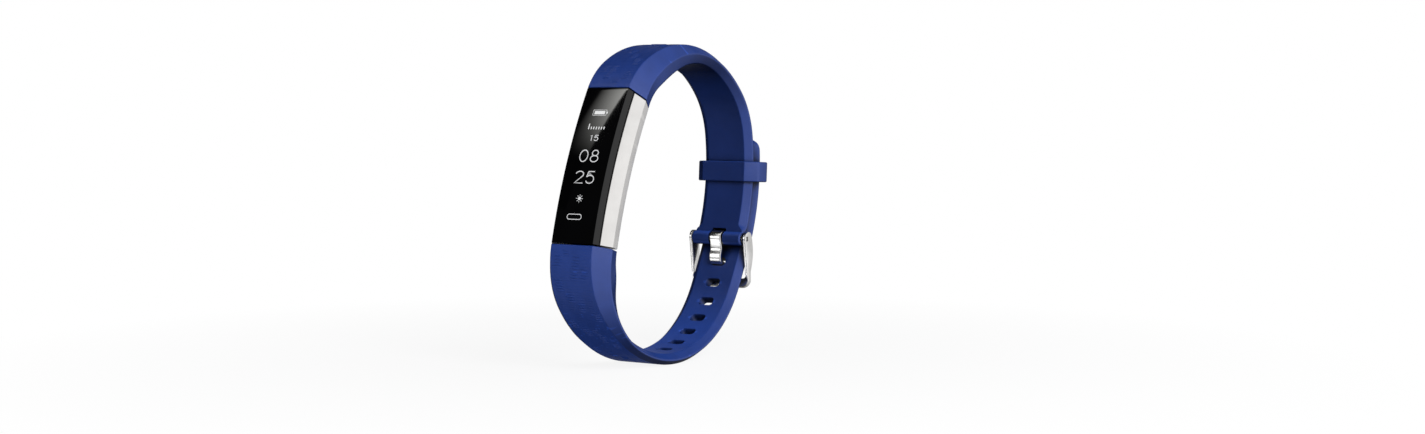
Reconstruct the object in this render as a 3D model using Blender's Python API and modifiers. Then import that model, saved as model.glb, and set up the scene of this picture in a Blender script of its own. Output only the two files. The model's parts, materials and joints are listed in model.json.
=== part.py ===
"""Fitness tracker band: a curved tracker held between two blue straps, with a steel pin buckle.

Frame: +Z up, X along the wrist, the display faces -Y and leans back. The origin is the centre of
the closed band's box. The ring of the band lies in the YZ plane, and sections run across it in X.
A heading is an angle from +Z towards +Y. A depth is a distance below the band's outer surface.
"""

import math

import bmesh
import bpy
from mathutils import Matrix, Vector

MM = 0.001

# Tracker: an arc seen from the side. Its middle sits here, leaning back by the tilt.
TRACKER_MIDDLE = (0.0, -25.96 * MM, 8.82 * MM)
TRACKER_TILT = math.radians(21.3)
TRACKER_RADIUS = 122 * MM
TRACKER_HALF_SWEEP = math.radians(7.6)
END_GAP = 0.3 * MM

# The upper joint's face leans: it reaches past the tracker's end at the outside and falls back inside.
UPPER_END_REACH = 0.9 * MM
UPPER_END_FALL = 0.29
LEAN_FADE = 8 * MM

# Half sections of the tracker's pieces, as (x, depth) in millimetres.
LENS_SECTION = [(5.15, 0.0), (5.97, 1.1)]
HOUSING_SECTION = [(6.09, 1.25), (7.7, 3.4), (7.2, 5.7)]
COVER_SECTION = [(7.0, 5.85), (5.3, 8.0)]
SENSOR_FACE_DEPTH = 8.6 * MM
COVER_HALF_LENGTH = 15.2 * MM
COVER_SLOPE_START = 14.8 * MM
END_WALL = 1.5 * MM

# Strap outlines: chains of tangent arcs (radius, turn in degrees), starting at the tracker.
UPPER_ARCS = [(15.5, 32.3), (29.0, 76.0), (18.4, 35.2), (43.3, 31.4)]
LOWER_ARCS = [(16.5, 52.8), (33.0, 52.1), (26.8, 61.5)]
OVERLAP_GAP = 0.3 * MM
TAIL_REACH = 22.8 * MM

# Strap sections: half widths and depths of the six-sided section, thick end and thin end.
THICK_END = {"flat": 5.15, "wide": 7.7, "wide_depth": 3.4, "inner": 7.0, "depth": 6.0}
THIN_END = {"flat": 4.95, "wide": 6.4, "wide_depth": 1.0, "inner": 4.65, "depth": 2.3}
UPPER_TAPER = 42 * MM
LOWER_TAPER = 27 * MM
WIDTH_TAPER = 45 * MM
TIP_LENGTH = 3.2 * MM
STATION_STEP = 3.2 * MM
STATION_TURN = math.radians(7)

# Adjustment holes: slots across the lower strap.
HOLE_PITCH = 5.1 * MM
HOLE_WIDTH = 3.6 * MM
HOLE_LENGTH = 2.1 * MM
HOLES_BELOW = 6
HOLES_ABOVE = 2

# Spring bar and the moulded loop round it.
BAR_DEPTH = 1.75 * MM
LOOP_RADIUS = 1.5 * MM
LOOP_BORE = 1.0 * MM
LOOP_HALF_WIDTH = 6.2 * MM
NOTCH_HALF_WIDTH = 1.8 * MM
NOTCH_REACH = 2.1 * MM
BAR_RADIUS = 0.85 * MM
BAR_BORE = 0.6 * MM
BAR_HALF_LENGTH = 5.9 * MM
PIN_RADIUS = 0.35 * MM
PIN_OUTER = 7.15 * MM
PIN_INNER = 4.1 * MM
SPRING_HALF_LENGTH = 2.9 * MM
SPRING_TURNS = 7

# Buckle frame and tongue. The frame is a U whose arms deepen towards round ears on the spring bar,
# the tongue a bent strip with a knuckle.
FRAME_HALF_WIDTH = 7.35 * MM
FRAME_ARM = 0.7 * MM
CROSSBAR_DEPTH = 1.3 * MM
CROSSBAR_WIDTH = 1.9 * MM
CROSSBAR_CLEARANCE = 0.35 * MM
FRAME_LENGTH = 9.1 * MM
FRAME_CORNER = 1.9 * MM
FRAME_EAR = 1.45 * MM
EAR_SHIFT = 0.65 * MM
PIN_HOLE = 0.52 * MM
TONGUE_HALF_WIDTH = 1.45 * MM
TONGUE_THICKNESS = 0.9 * MM
KNUCKLE_OUTER = 1.65 * MM
KNUCKLE_BORE = 1.1 * MM
KNUCKLE_HALF_WIDTH = 1.35 * MM
HOLE_FROM_BAR = 4.65 * MM

# Keeper loop: a band round both straps, on the arc where they run concentric.
KEEPER_START = 8.1 * MM
KEEPER_LENGTH = 4.4 * MM
KEEPER_OPENING = [(5.25, -2.95), (7.05, -1.55), (7.05, 1.15), (4.9, 2.65)]
KEEPER_OUTSIDE = [(5.75, -3.85), (7.9, -2.1), (7.9, 1.45), (5.4, 3.5)]

# Strap plugs at the tracker's ends.
PLUG_LENGTH = {"upper": 6.5 * MM, "lower": 8.0 * MM}
PLUG_HALF_WIDTH = {"upper": 4.4 * MM, "lower": 5.6 * MM}
PLUG_TOP = 3.2 * MM
PLUG_BOTTOM = 5.2 * MM
NECK_HALF_WIDTH = 2.6 * MM
FLANGE_HALF_WIDTH = 3.3 * MM
SOCKET_GAP = 0.3 * MM
CONTACT_PITCH = 2.3 * MM

# Rear screws.
SCREW_X = 4.0 * MM
SCREW_Y = 11.9 * MM

# Vibration motor.
MOTOR_Y = 7.1 * MM
MOTOR_RADIUS = 3.0 * MM

# Colours (linear RGB), roughness, metallic.
FINISHES = {
    "navy_tpu": ((0.012, 0.028, 0.16), 0.55, 0.0),
    "black_glass": ((0.003, 0.003, 0.004), 0.06, 0.0),
    "satin_silver": ((0.74, 0.73, 0.71), 0.3, 1.0),
    "polished_steel": ((0.78, 0.77, 0.75), 0.1, 1.0),
    "black_plastic": ((0.012, 0.012, 0.013), 0.45, 0.0),
    "black_rubber": ((0.01, 0.01, 0.01), 0.8, 0.0),
    "dark_window": ((0.02, 0.004, 0.006), 0.1, 0.0),
    "green_board": ((0.01, 0.12, 0.04), 0.5, 0.0),
    "chip_black": ((0.02, 0.02, 0.022), 0.4, 0.0),
    "gold": ((0.85, 0.55, 0.18), 0.25, 1.0),
    "led_green": ((0.05, 0.8, 0.15), 0.3, 0.0),
    "battery_foil": ((0.6, 0.6, 0.62), 0.35, 0.8),
    "red_wire": ((0.6, 0.02, 0.02), 0.5, 0.0),
    "black_wire": ((0.01, 0.01, 0.01), 0.5, 0.0),
    "amber_flex": ((0.55, 0.22, 0.03), 0.4, 0.0),
    "grey_foam": ((0.1, 0.1, 0.11), 0.95, 0.0),
    "motor_steel": ((0.6, 0.6, 0.6), 0.25, 1.0),
    "oled_panel": ((0.01, 0.012, 0.02), 0.15, 0.0),
}

for old in list(bpy.data.objects):
    bpy.data.objects.remove(old, do_unlink=True)

PARTS = bpy.data.collections.new("fitness_tracker_band")
CUTTERS = bpy.data.collections.new("cutters")
bpy.context.scene.collection.children.link(PARTS)
bpy.context.scene.collection.children.link(CUTTERS)


# ---------------------------------------------------------------- helpers

def finish(name):
    """A Principled material with the named finish."""
    material = bpy.data.materials.get(name)
    if material is None:
        colour, roughness, metallic = FINISHES[name]
        material = bpy.data.materials.new(name)
        material.use_nodes = True
        shader = material.node_tree.nodes["Principled BSDF"]
        shader.inputs["Base Color"].default_value = (*colour, 1.0)
        shader.inputs["Roughness"].default_value = roughness
        shader.inputs["Metallic"].default_value = metallic
        material.diffuse_color = (*colour, 1.0)
    return material


def add_object(name, bm, material, parent=None, smooth=False):
    """Turn a bmesh into a part, or into a cutter when it has no material."""
    bmesh.ops.recalc_face_normals(bm, faces=bm.faces)
    mesh = bpy.data.meshes.new(name)
    bm.to_mesh(mesh)
    bm.free()
    if smooth:
        mesh.shade_smooth()
        mesh.set_sharp_from_angle(angle=math.radians(35))
    obj = bpy.data.objects.new(name, mesh)
    if material is None:
        obj.hide_render = True
        obj.display_type = "WIRE"
        CUTTERS.objects.link(obj)
    else:
        mesh.materials.append(finish(material))
        PARTS.objects.link(obj)
    obj.parent = parent
    return obj


def boolean(target, other, operation):
    """Cut another solid from a part, or join it on."""
    modifier = target.modifiers.new(f"{operation.lower()}_{other.name}", "BOOLEAN")
    modifier.operation = operation
    modifier.solver = "EXACT"
    modifier.object = other


def box(name, low, high, material, parent=None, frame=Matrix()):
    """A cube primitive stretched between two corners, placed by a matrix."""
    bm = bmesh.new()
    bmesh.ops.create_cube(bm, size=1.0)
    low, high = Vector(low), Vector(high)
    size = high - low
    place = Matrix.Translation((low + high) / 2) @ Matrix.Diagonal((*size, 1.0))
    bmesh.ops.transform(bm, matrix=frame @ place, verts=bm.verts)
    return add_object(name, bm, material, parent)


def cylinder(name, radius, start, end, material, parent=None, sides=24):
    """A cone primitive of one radius between two points."""
    start, end = Vector(start), Vector(end)
    axis = end - start
    turn = Vector((0, 0, 1)).rotation_difference(axis).to_matrix().to_4x4()
    place = Matrix.Translation((start + end) / 2) @ turn
    bm = bmesh.new()
    bmesh.ops.create_cone(bm, cap_ends=True, segments=sides, radius1=radius, radius2=radius,
                          depth=axis.length, matrix=place)
    return add_object(name, bm, material, parent, smooth=True)


def turned(name, profile, centre, material, parent, sides=28):
    """A closed solid of revolution about the parent's Z, from (radius, z) points, top to bottom."""
    mesh = bpy.data.meshes.new(name)
    points = [(radius, 0.0, z) for radius, z in profile]
    edges = [(i, i + 1) for i in range(len(points) - 1)]
    mesh.from_pydata(points, edges, [])
    mesh.materials.append(finish(material))
    obj = bpy.data.objects.new(name, mesh)
    PARTS.objects.link(obj)
    obj.parent = parent
    obj.location = centre
    screw = obj.modifiers.new("turn", "SCREW")
    screw.axis = "Z"
    screw.steps = sides
    screw.render_steps = sides
    screw.use_merge_vertices = True
    screw.merge_threshold = 0.00001
    return obj


def mirrored(half, scale=MM):
    """A closed section from its right half: down the right side and up the left."""
    right = [(x * scale, depth * scale) for x, depth in half]
    left = [(-x, depth) for x, depth in reversed(right)]
    return right + left


def arc_solid(name, section, centre_z, radius, start, sweep, steps, material, parent=None):
    """Spin a section (x, depth) about an axis along X that lies below it at centre_z."""
    bm = bmesh.new()
    verts = []
    for x, depth in section:
        reach = radius - depth
        y = reach * math.sin(start)
        z = centre_z + reach * math.cos(start)
        verts.append(bm.verts.new((x, y, z)))
    face = bm.faces.new(verts)
    bmesh.ops.spin(bm, geom=[face, *face.edges, *verts], cent=(0, 0, centre_z), axis=(-1, 0, 0),
                   angle=sweep, steps=steps)
    return add_object(name, bm, material, parent)


def loft(name, rings, material, parent=None, smooth=False):
    """Skin between rings of equal point counts, closed at both ends."""
    bm = bmesh.new()
    rows = [[bm.verts.new(point) for point in ring] for ring in rings]
    count = len(rows[0])
    for row, following in zip(rows, rows[1:]):
        for i in range(count):
            j = (i + 1) % count
            bm.faces.new((row[i], row[j], following[j], following[i]))
    bm.faces.new(rows[0])
    bm.faces.new(rows[-1])
    return add_object(name, bm, material, parent, smooth)


def empty(name, location, rotation=(0.0, 0.0, 0.0), parent=None):
    """A frame for its children."""
    obj = bpy.data.objects.new(name, None)
    obj.location = location
    obj.rotation_euler = rotation
    obj.parent = parent
    obj.empty_display_size = 3 * MM
    CUTTERS.objects.link(obj)
    return obj


# ---------------------------------------------------------------- the ring's side outline

def direction(heading):
    return Vector((0.0, math.sin(heading), math.cos(heading)))


class Outline:
    """A run of points on the band's outer surface with headings, sampled finely."""

    SAMPLE = 0.4 * MM

    def __init__(self, start, heading, side):
        """side is +1 when the outside lies to the left of travel, else -1."""
        self.points = [start.copy()]
        self.headings = [heading]
        self.lengths = [0.0]
        self.side = side

    def add(self, point, heading):
        self.lengths.append(self.lengths[-1] + (point - self.points[-1]).length)
        self.points.append(point)
        self.headings.append(heading)

    def arc(self, radius, turn):
        """Add an arc; a positive turn swings the heading from +Z towards +Y."""
        steps = max(2, round(radius * abs(turn) / self.SAMPLE))
        first, begin = self.headings[-1], self.points[-1].copy()
        bend = math.copysign(1 / radius, turn)
        for i in range(1, steps + 1):
            heading = first + turn * i / steps
            y = (math.cos(first) - math.cos(heading)) / bend
            z = (math.sin(heading) - math.sin(first)) / bend
            self.add(begin + Vector((0.0, y, z)), heading)

    def curve_to(self, point, heading):
        """Add a smooth curve that leaves and arrives along the headings."""
        begin, first = self.points[-1].copy(), self.headings[-1]
        pull = (point - begin).length / 3
        handles = (begin, begin + direction(first) * pull, point - direction(heading) * pull, point)
        steps = max(2, round((point - begin).length / self.SAMPLE))
        for i in range(1, steps + 1):
            t = i / steps
            u = 1 - t
            weights = (u ** 3, 3 * u * u * t, 3 * u * t * t, t ** 3)
            place = sum((h * w for h, w in zip(handles, weights)), Vector())
            self.add(place, first + (heading - first) * (3 * t * t - 2 * t ** 3))

    def at(self, length):
        """Point and heading at a distance along the outline, run on straight past its ends."""
        if length <= 0:
            return self.points[0] + direction(self.headings[0]) * length, self.headings[0]
        for i in range(1, len(self.lengths)):
            if self.lengths[i] >= length:
                t = (length - self.lengths[i - 1]) / (self.lengths[i] - self.lengths[i - 1])
                point = self.points[i - 1].lerp(self.points[i], t)
                return point, self.headings[i - 1] * (1 - t) + self.headings[i] * t
        over = length - self.lengths[-1]
        return self.points[-1] + direction(self.headings[-1]) * over, self.headings[-1]

    def outward(self, heading):
        return Vector((0.0, -math.cos(heading), math.sin(heading))) * self.side

    def frame(self, length):
        """Matrix with X across, Y along the outline and Z outwards, on the outer surface."""
        point, heading = self.at(length)
        along, out = direction(heading), self.outward(heading)
        across = along.cross(out)
        turn = Matrix((across, along, out)).transposed().to_4x4()
        return Matrix.Translation(point) @ turn

    @property
    def length(self):
        return self.lengths[-1]


def tracker_end(sign):
    """Outer surface point and heading at the tracker's upper (+1) or lower (-1) end."""
    out = Vector((0.0, -math.cos(TRACKER_TILT), math.sin(TRACKER_TILT)))
    centre = Vector(TRACKER_MIDDLE) - out * TRACKER_RADIUS
    heading = TRACKER_TILT + sign * TRACKER_HALF_SWEEP
    point = centre + Vector((0.0, -math.cos(heading), math.sin(heading))) * TRACKER_RADIUS
    return point, heading if sign > 0 else heading + math.pi


def upper_outline():
    point, heading = tracker_end(1)
    outline = Outline(point + direction(heading) * END_GAP, heading, 1)
    for radius, turn in UPPER_ARCS:
        outline.arc(radius * MM, math.radians(turn))
    return outline


def lower_outline(upper):
    """Round the bottom, then up over the outside of the upper strap."""
    point, heading = tracker_end(-1)
    outline = Outline(point + direction(heading) * END_GAP, heading, -1)
    for radius, turn in LOWER_ARCS:
        outline.arc(radius * MM, -math.radians(turn))
    lift = OVERLAP_GAP + THIN_END["depth"] * MM
    place = upper.length
    first = True
    while place > upper.length - TAIL_REACH:
        base, back = upper.at(place)
        top = base + upper.outward(back) * lift
        if first:
            outline.curve_to(top, back - math.pi)
            first = False
        else:
            outline.add(top, back - math.pi)
        place -= Outline.SAMPLE
    return outline


UPPER = upper_outline()
LOWER = lower_outline(UPPER)
BAR_CENTRE = UPPER.frame(UPPER.length) @ Vector((0.0, 0.0, -BAR_DEPTH))


# ---------------------------------------------------------------- straps

def ease(value):
    value = min(1.0, max(0.0, value))
    return value * value * (3 - 2 * value)


def strap_section(length, taper, tip_start=None):
    """Six-sided section at a distance from the tracker, as (x, depth)."""
    thin = ease(length / taper)
    narrow = ease(length / WIDTH_TAPER)

    def blend(key, t):
        return (THICK_END[key] * (1 - t) + THIN_END[key] * t) * MM

    flat, wide, inner = blend("flat", narrow), blend("wide", narrow), blend("inner", thin)
    wide_depth, depth = blend("wide_depth", thin), blend("depth", thin)
    if tip_start is not None and length > tip_start:
        t = min(1.0, (length - tip_start) / TIP_LENGTH)
        shrink = math.sqrt(1 - 0.94 * t * t)
        flat, wide, inner = flat * shrink, wide * shrink, inner * shrink
    half = [(flat, 0.0), (wide, wide_depth), (inner, depth)]
    return mirrored(half, 1.0)


def stations(outline, end):
    """Distances along an outline, closer together where it bends or the section tapers."""
    places = [0.0]
    while places[-1] < end - 0.3 * MM:
        step = STATION_STEP
        heading = outline.at(places[-1])[1]
        while abs(outline.at(places[-1] + step)[1] - heading) > STATION_TURN and step > MM:
            step *= 0.9
        places.append(min(end, places[-1] + step))
    return places


def end_lean(depth):
    """How far the upper joint's face lies past the tracker's end, at a depth."""
    return UPPER_END_REACH - UPPER_END_FALL * depth


def strap(name, outline, end, taper, tip_start=None):
    places = stations(outline, tip_start or end)
    if tip_start is not None:
        places += [tip_start + TIP_LENGTH * t for t in (0.3, 0.55, 0.75, 0.9, 1.0)]
    rings = []
    for place in places:
        frame = outline.frame(place)
        section = strap_section(place, taper, tip_start)
        lean = max(0.0, 1 - place / LEAN_FADE) if outline is UPPER else 0.0
        rings.append([frame @ Vector((x, lean * end_lean(depth), -depth)) for x, depth in section])
    return loft(name, rings, "navy_tpu", smooth=True)


def end_frame(sign):
    """Frame at a tracker end: Y points away from the tracker, Z outwards, X across."""
    return (UPPER if sign > 0 else LOWER).frame(-END_GAP)


def cut_socket(obj, side, sign):
    """A pocket in the strap's end that takes the tracker's plug."""
    half = PLUG_HALF_WIDTH[side] + SOCKET_GAP
    low = (-half, -MM, -PLUG_BOTTOM - SOCKET_GAP)
    high = (half, PLUG_LENGTH[side] + SOCKET_GAP, -PLUG_TOP + SOCKET_GAP)
    boolean(obj, box(f"socket_{side}", low, high, None, frame=end_frame(sign)), "DIFFERENCE")


def build_upper_strap():
    obj = strap("upper_strap", UPPER, UPPER.length, UPPER_TAPER)
    across = Vector((LOOP_HALF_WIDTH, 0, 0))
    loop = cylinder("loop", LOOP_RADIUS, BAR_CENTRE - across, BAR_CENTRE + across, None)
    boolean(obj, loop, "UNION")
    frame = UPPER.frame(UPPER.length)
    low = (-NOTCH_HALF_WIDTH, -NOTCH_REACH, -4 * MM)
    notch = box("notch", low, (NOTCH_HALF_WIDTH, 4 * MM, MM), None, frame=frame)
    boolean(obj, notch, "DIFFERENCE")
    wide = Vector((LOOP_HALF_WIDTH + MM, 0, 0))
    bore = cylinder("loop_bore", LOOP_BORE, BAR_CENTRE - wide, BAR_CENTRE + wide, None, sides=20)
    boolean(obj, bore, "DIFFERENCE")
    cut_socket(obj, "upper", 1)


def engaged_place():
    """Distance along the lower outline of the hole that the tongue passes through."""
    target = BAR_CENTRE + direction(UPPER.at(UPPER.length)[1]) * HOLE_FROM_BAR
    near = min(range(len(LOWER.points)), key=lambda i: (LOWER.points[i] - target).length)
    return LOWER.lengths[near]


ENGAGED = engaged_place()


def build_lower_strap():
    tip_start = LOWER.length - TIP_LENGTH
    obj = strap("lower_strap", LOWER, LOWER.length, LOWER_TAPER, tip_start)
    for number in range(-HOLES_BELOW, HOLES_ABOVE + 1):
        frame = LOWER.frame(ENGAGED + number * HOLE_PITCH)
        low = (-HOLE_WIDTH / 2, -HOLE_LENGTH / 2, -9 * MM)
        high = (HOLE_WIDTH / 2, HOLE_LENGTH / 2, MM)
        slot = box(f"hole_{number + HOLES_BELOW}", low, high, None, frame=frame)
        boolean(obj, slot, "DIFFERENCE")
    cut_socket(obj, "lower", -1)


# ---------------------------------------------------------------- buckle

def build_spring_bar(hinge):
    ends = Vector((BAR_HALF_LENGTH, 0, 0))
    tube = cylinder("spring_bar_tube", BAR_RADIUS, -ends, ends, "polished_steel", hinge)
    bore = cylinder("bar_bore", BAR_BORE, -ends * 1.2, ends * 1.2, None, hinge, sides=16)
    boolean(tube, bore, "DIFFERENCE")
    for side, sign in (("left", -1), ("right", 1)):
        inner = Vector((sign * PIN_INNER, 0, 0))
        outer = Vector((sign * PIN_OUTER, 0, 0))
        cylinder(f"spring_bar_pin_{side}", PIN_RADIUS, inner, outer, "polished_steel", hinge, 14)
    curve = bpy.data.curves.new("spring_bar_spring", "CURVE")
    curve.dimensions = "3D"
    curve.bevel_depth = 0.09 * MM
    curve.bevel_resolution = 1
    curve.use_fill_caps = True
    spline = curve.splines.new("POLY")
    count = SPRING_TURNS * 8
    spline.points.add(count)
    for i, point in enumerate(spline.points):
        angle = i * math.tau / 8
        x = SPRING_HALF_LENGTH * (2 * i / count - 1)
        radius = PIN_RADIUS - 0.05 * MM
        point.co = (x, radius * math.cos(angle), radius * math.sin(angle), 1.0)
    curve.materials.append(finish("motor_steel"))
    spring = bpy.data.objects.new("spring_bar_spring", curve)
    PARTS.objects.link(spring)
    spring.parent = hinge


def crossbar_frame():
    """Frame on the lower strap's outer surface where the crossbar lies."""
    place = ENGAGED
    while (LOWER.at(place)[0] - BAR_CENTRE).length < FRAME_LENGTH:
        place -= Outline.SAMPLE
    return LOWER.frame(place)


def quarter_round(centre, radius, steps=4):
    """Quarter circle in a plane from +X to +Y."""
    angles = [math.pi / 2 * i / steps for i in range(steps + 1)]
    return [(centre[0] + radius * math.cos(a), centre[1] + radius * math.sin(a)) for a in angles]


def build_buckle_frame(hinge):
    """A U of bar hung on the spring bar's pins, with its crossbar outside the strap.

    It is lofted from the right ear's top round to the left one's. Each station has a point on the
    U's outside and one on its inside, in the U's plane, the heights of its front and rear faces,
    and the share of the roll that lays the crossbar flat on the strap.
    """
    seat = CROSSBAR_CLEARANCE + CROSSBAR_DEPTH / 2
    crossbar = crossbar_frame() @ Vector((0, 0, seat)) - BAR_CENTRE
    down = crossbar.normalized()
    turn = Matrix((Vector((1, 0, 0)), down, Vector((1, 0, 0)).cross(down))).transposed()
    reach = crossbar.length + CROSSBAR_WIDTH / 2
    inner = FRAME_HALF_WIDTH - FRAME_ARM
    half = CROSSBAR_DEPTH / 2
    stations = []
    for degrees in (12, 35, 60, 90):
        angle = math.radians(degrees)
        along, rise = -FRAME_EAR * math.cos(angle), FRAME_EAR * math.sin(angle)
        stations.append(((FRAME_HALF_WIDTH, along), (inner, along), EAR_SHIFT - rise, EAR_SHIFT + rise, 0))
    inside_radius = FRAME_CORNER - FRAME_ARM
    arm_end = reach - CROSSBAR_WIDTH - inside_radius
    for share in (0.3, 0.6, 0.85):
        front = (EAR_SHIFT - FRAME_EAR) * (1 - share) - half * share
        rear = (EAR_SHIFT + FRAME_EAR) * (1 - share) + half * share
        along = arm_end * share
        stations.append(((FRAME_HALF_WIDTH, along), (inner, along), front, rear, 0))
    outside = quarter_round((FRAME_HALF_WIDTH - FRAME_CORNER, reach - FRAME_CORNER), FRAME_CORNER)
    inside = quarter_round((inner - inside_radius, arm_end), inside_radius)
    corner = list(zip(outside, inside))
    stations += [(far, near, -half, half, i / (len(corner) - 1)) for i, (far, near) in enumerate(corner)]
    stations += [((-far[0], far[1]), (-near[0], near[1]), front, rear, roll)
                 for far, near, front, rear, roll in reversed(stations)]
    outward = turn.inverted() @ crossbar_frame().to_3x3() @ Vector((0, 0, 1))
    tilt = math.atan2(-outward.y, outward.z)
    seat_line = Vector((0, crossbar.length, 0))
    rings = []
    for far, near, front, rear, roll in stations:
        ring = [(*far, front), (*far, rear), (*near, rear), (*near, front)]
        rolled = Matrix.Rotation(tilt * roll, 3, "X")
        rings.append([turn @ (rolled @ (Vector(point) - seat_line) + seat_line) for point in ring])
    obj = loft("buckle_frame", rings, "polished_steel", hinge)
    wide = Vector((FRAME_HALF_WIDTH + MM, 0, 0))
    boolean(obj, cylinder("pin_hole", PIN_HOLE, -wide, wide, None, hinge, 16), "DIFFERENCE")


def build_tongue(hinge):
    """A bent strip: from its knuckle down the wrist side, out through the hole, onto the crossbar."""
    hole = LOWER.frame(ENGAGED)
    bar = crossbar_frame()
    seat = CROSSBAR_CLEARANCE + CROSSBAR_DEPTH + CROSSBAR_CLEARANCE + TONGUE_THICKNESS / 2
    wrist_side = THIN_END["depth"] * MM + 1.35 * MM
    start = UPPER.outward(UPPER.at(UPPER.length)[1]) * -1.42 * MM
    middle = [
        hole @ Vector((0, 1.9 * MM, -wrist_side)),
        hole @ Vector((0, 0.75 * MM, -wrist_side)),
        hole @ Vector((0, 0.1 * MM, -wrist_side + 0.65 * MM)),
        hole @ Vector((0, 0.0, -1.2 * MM)),
        hole @ Vector((0, -0.05 * MM, 1.6 * MM)),
        hole @ Vector((0, -0.6 * MM, 2.5 * MM)),
        bar @ Vector((0, 1.7 * MM, seat + 0.1 * MM)),
        bar @ Vector((0, -1.0 * MM, seat)),
    ]
    path = [start] + [point - BAR_CENTRE for point in middle]
    left, right = [], []
    for i, point in enumerate(path):
        before = path[max(0, i - 1)]
        after = path[min(len(path) - 1, i + 1)]
        along = (after - before).normalized()
        side = Vector((1, 0, 0)).cross(along) * TONGUE_THICKNESS / 2
        left.append(point + side)
        right.append(point - side)
    bm = bmesh.new()
    shift = Vector((-TONGUE_HALF_WIDTH, 0, 0))
    verts = [bm.verts.new(point + shift) for point in left + list(reversed(right))]
    face = bm.faces.new(verts)
    grown = bmesh.ops.extrude_face_region(bm, geom=[face])
    lifted = [g for g in grown["geom"] if isinstance(g, bmesh.types.BMVert)]
    bmesh.ops.translate(bm, verts=lifted, vec=(2 * TONGUE_HALF_WIDTH, 0, 0))
    obj = add_object("buckle_tongue", bm, "polished_steel", hinge)
    width = Vector((KNUCKLE_HALF_WIDTH, 0, 0))
    knuckle = cylinder("knuckle", KNUCKLE_OUTER, -width, width, None, hinge, 24)
    boolean(obj, knuckle, "UNION")
    bore = cylinder("knuckle_bore", KNUCKLE_BORE, -width * 2, width * 2, None, hinge, 20)
    boolean(obj, bore, "DIFFERENCE")


def keeper_axis():
    """Centre of the arc on which both straps run concentric."""
    radius = UPPER_ARCS[-1][0] * MM
    frame = UPPER.frame(UPPER.length)
    return frame @ Vector((0, 0, -radius)), radius


def build_keeper():
    centre, radius = keeper_axis()
    arc_length = radius * math.radians(UPPER_ARCS[-1][1])
    place = UPPER.length - arc_length + KEEPER_START
    out = UPPER.outward(UPPER.at(place)[1])
    lean = math.atan2(out.y, out.z)
    axis = empty("keeper_axis", centre)
    half = KEEPER_LENGTH / radius / 2
    loop = arc_solid("keeper_loop", mirrored(KEEPER_OUTSIDE), 0.0, radius, lean - half, 2 * half, 5,
                     "navy_tpu", axis)
    tunnel = arc_solid("keeper_tunnel", mirrored(KEEPER_OPENING), 0.0, radius, lean - 2 * half, 4 * half,
                       10, None, axis)
    boolean(loop, tunnel, "DIFFERENCE")


# ---------------------------------------------------------------- tracker

def tracker_arc(name, section, sweep, material, frame, steps=10):
    return arc_solid(name, section, -TRACKER_RADIUS, TRACKER_RADIUS, -sweep, 2 * sweep, steps,
                     material, frame)


def lean_upper_end(obj):
    """Shear a tracker arc's upper half so that its end face leans with the strap's."""
    for vertex in obj.data.vertices:
        x, y, z = vertex.co
        reach = math.hypot(y, z + TRACKER_RADIUS)
        angle = math.atan2(y, z + TRACKER_RADIUS)
        if angle > 0:
            angle *= 1 + end_lean(TRACKER_RADIUS - reach) / (TRACKER_RADIUS * TRACKER_HALF_SWEEP)
            vertex.co = (x, reach * math.sin(angle), reach * math.cos(angle) - TRACKER_RADIUS)


def slab(name, half_width, top, bottom, sweep, material, frame, steps=10):
    """A curved slab between two depths in millimetres."""
    section = mirrored([(half_width, top), (half_width, bottom)])
    return tracker_arc(name, section, sweep, material, frame, steps)


def reach_angle(half_length):
    """Sweep angle that reaches a half length along the tracker."""
    return half_length / TRACKER_RADIUS


def ring(name, outer, inner, top, bottom, material, frame):
    """A curved rectangular ring; outer and inner are (half width, half length) in millimetres."""
    obj = slab(name, outer[0], top, bottom, reach_angle(outer[1] * MM), material, frame)
    hole = slab(f"{name}_opening", inner[0], top - 1, bottom + 1, reach_angle(inner[1] * MM),
                None, frame)
    boolean(obj, hole, "DIFFERENCE")
    return obj


def build_lens(frame):
    section = mirrored(LENS_SECTION)
    lens = tracker_arc("display_lens", section, TRACKER_HALF_SWEEP, "black_glass", frame, 12)
    lean_upper_end(lens)
    ring("lens_seal", (5.45, 15.3), (5.0, 14.8), 1.25, 1.6, "black_rubber", frame)
    low, high = (-2.2 * MM, -12.2 * MM, -2.05 * MM), (2.2 * MM, -9.4 * MM, -1.85 * MM)
    box("touch_electrode", low, high, "amber_flex", frame)


def screw_places():
    signs = ((1, 1), (-1, 1), (1, -1), (-1, -1))
    return [(sx * SCREW_X, sy * SCREW_Y) for sx, sy in signs]


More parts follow.
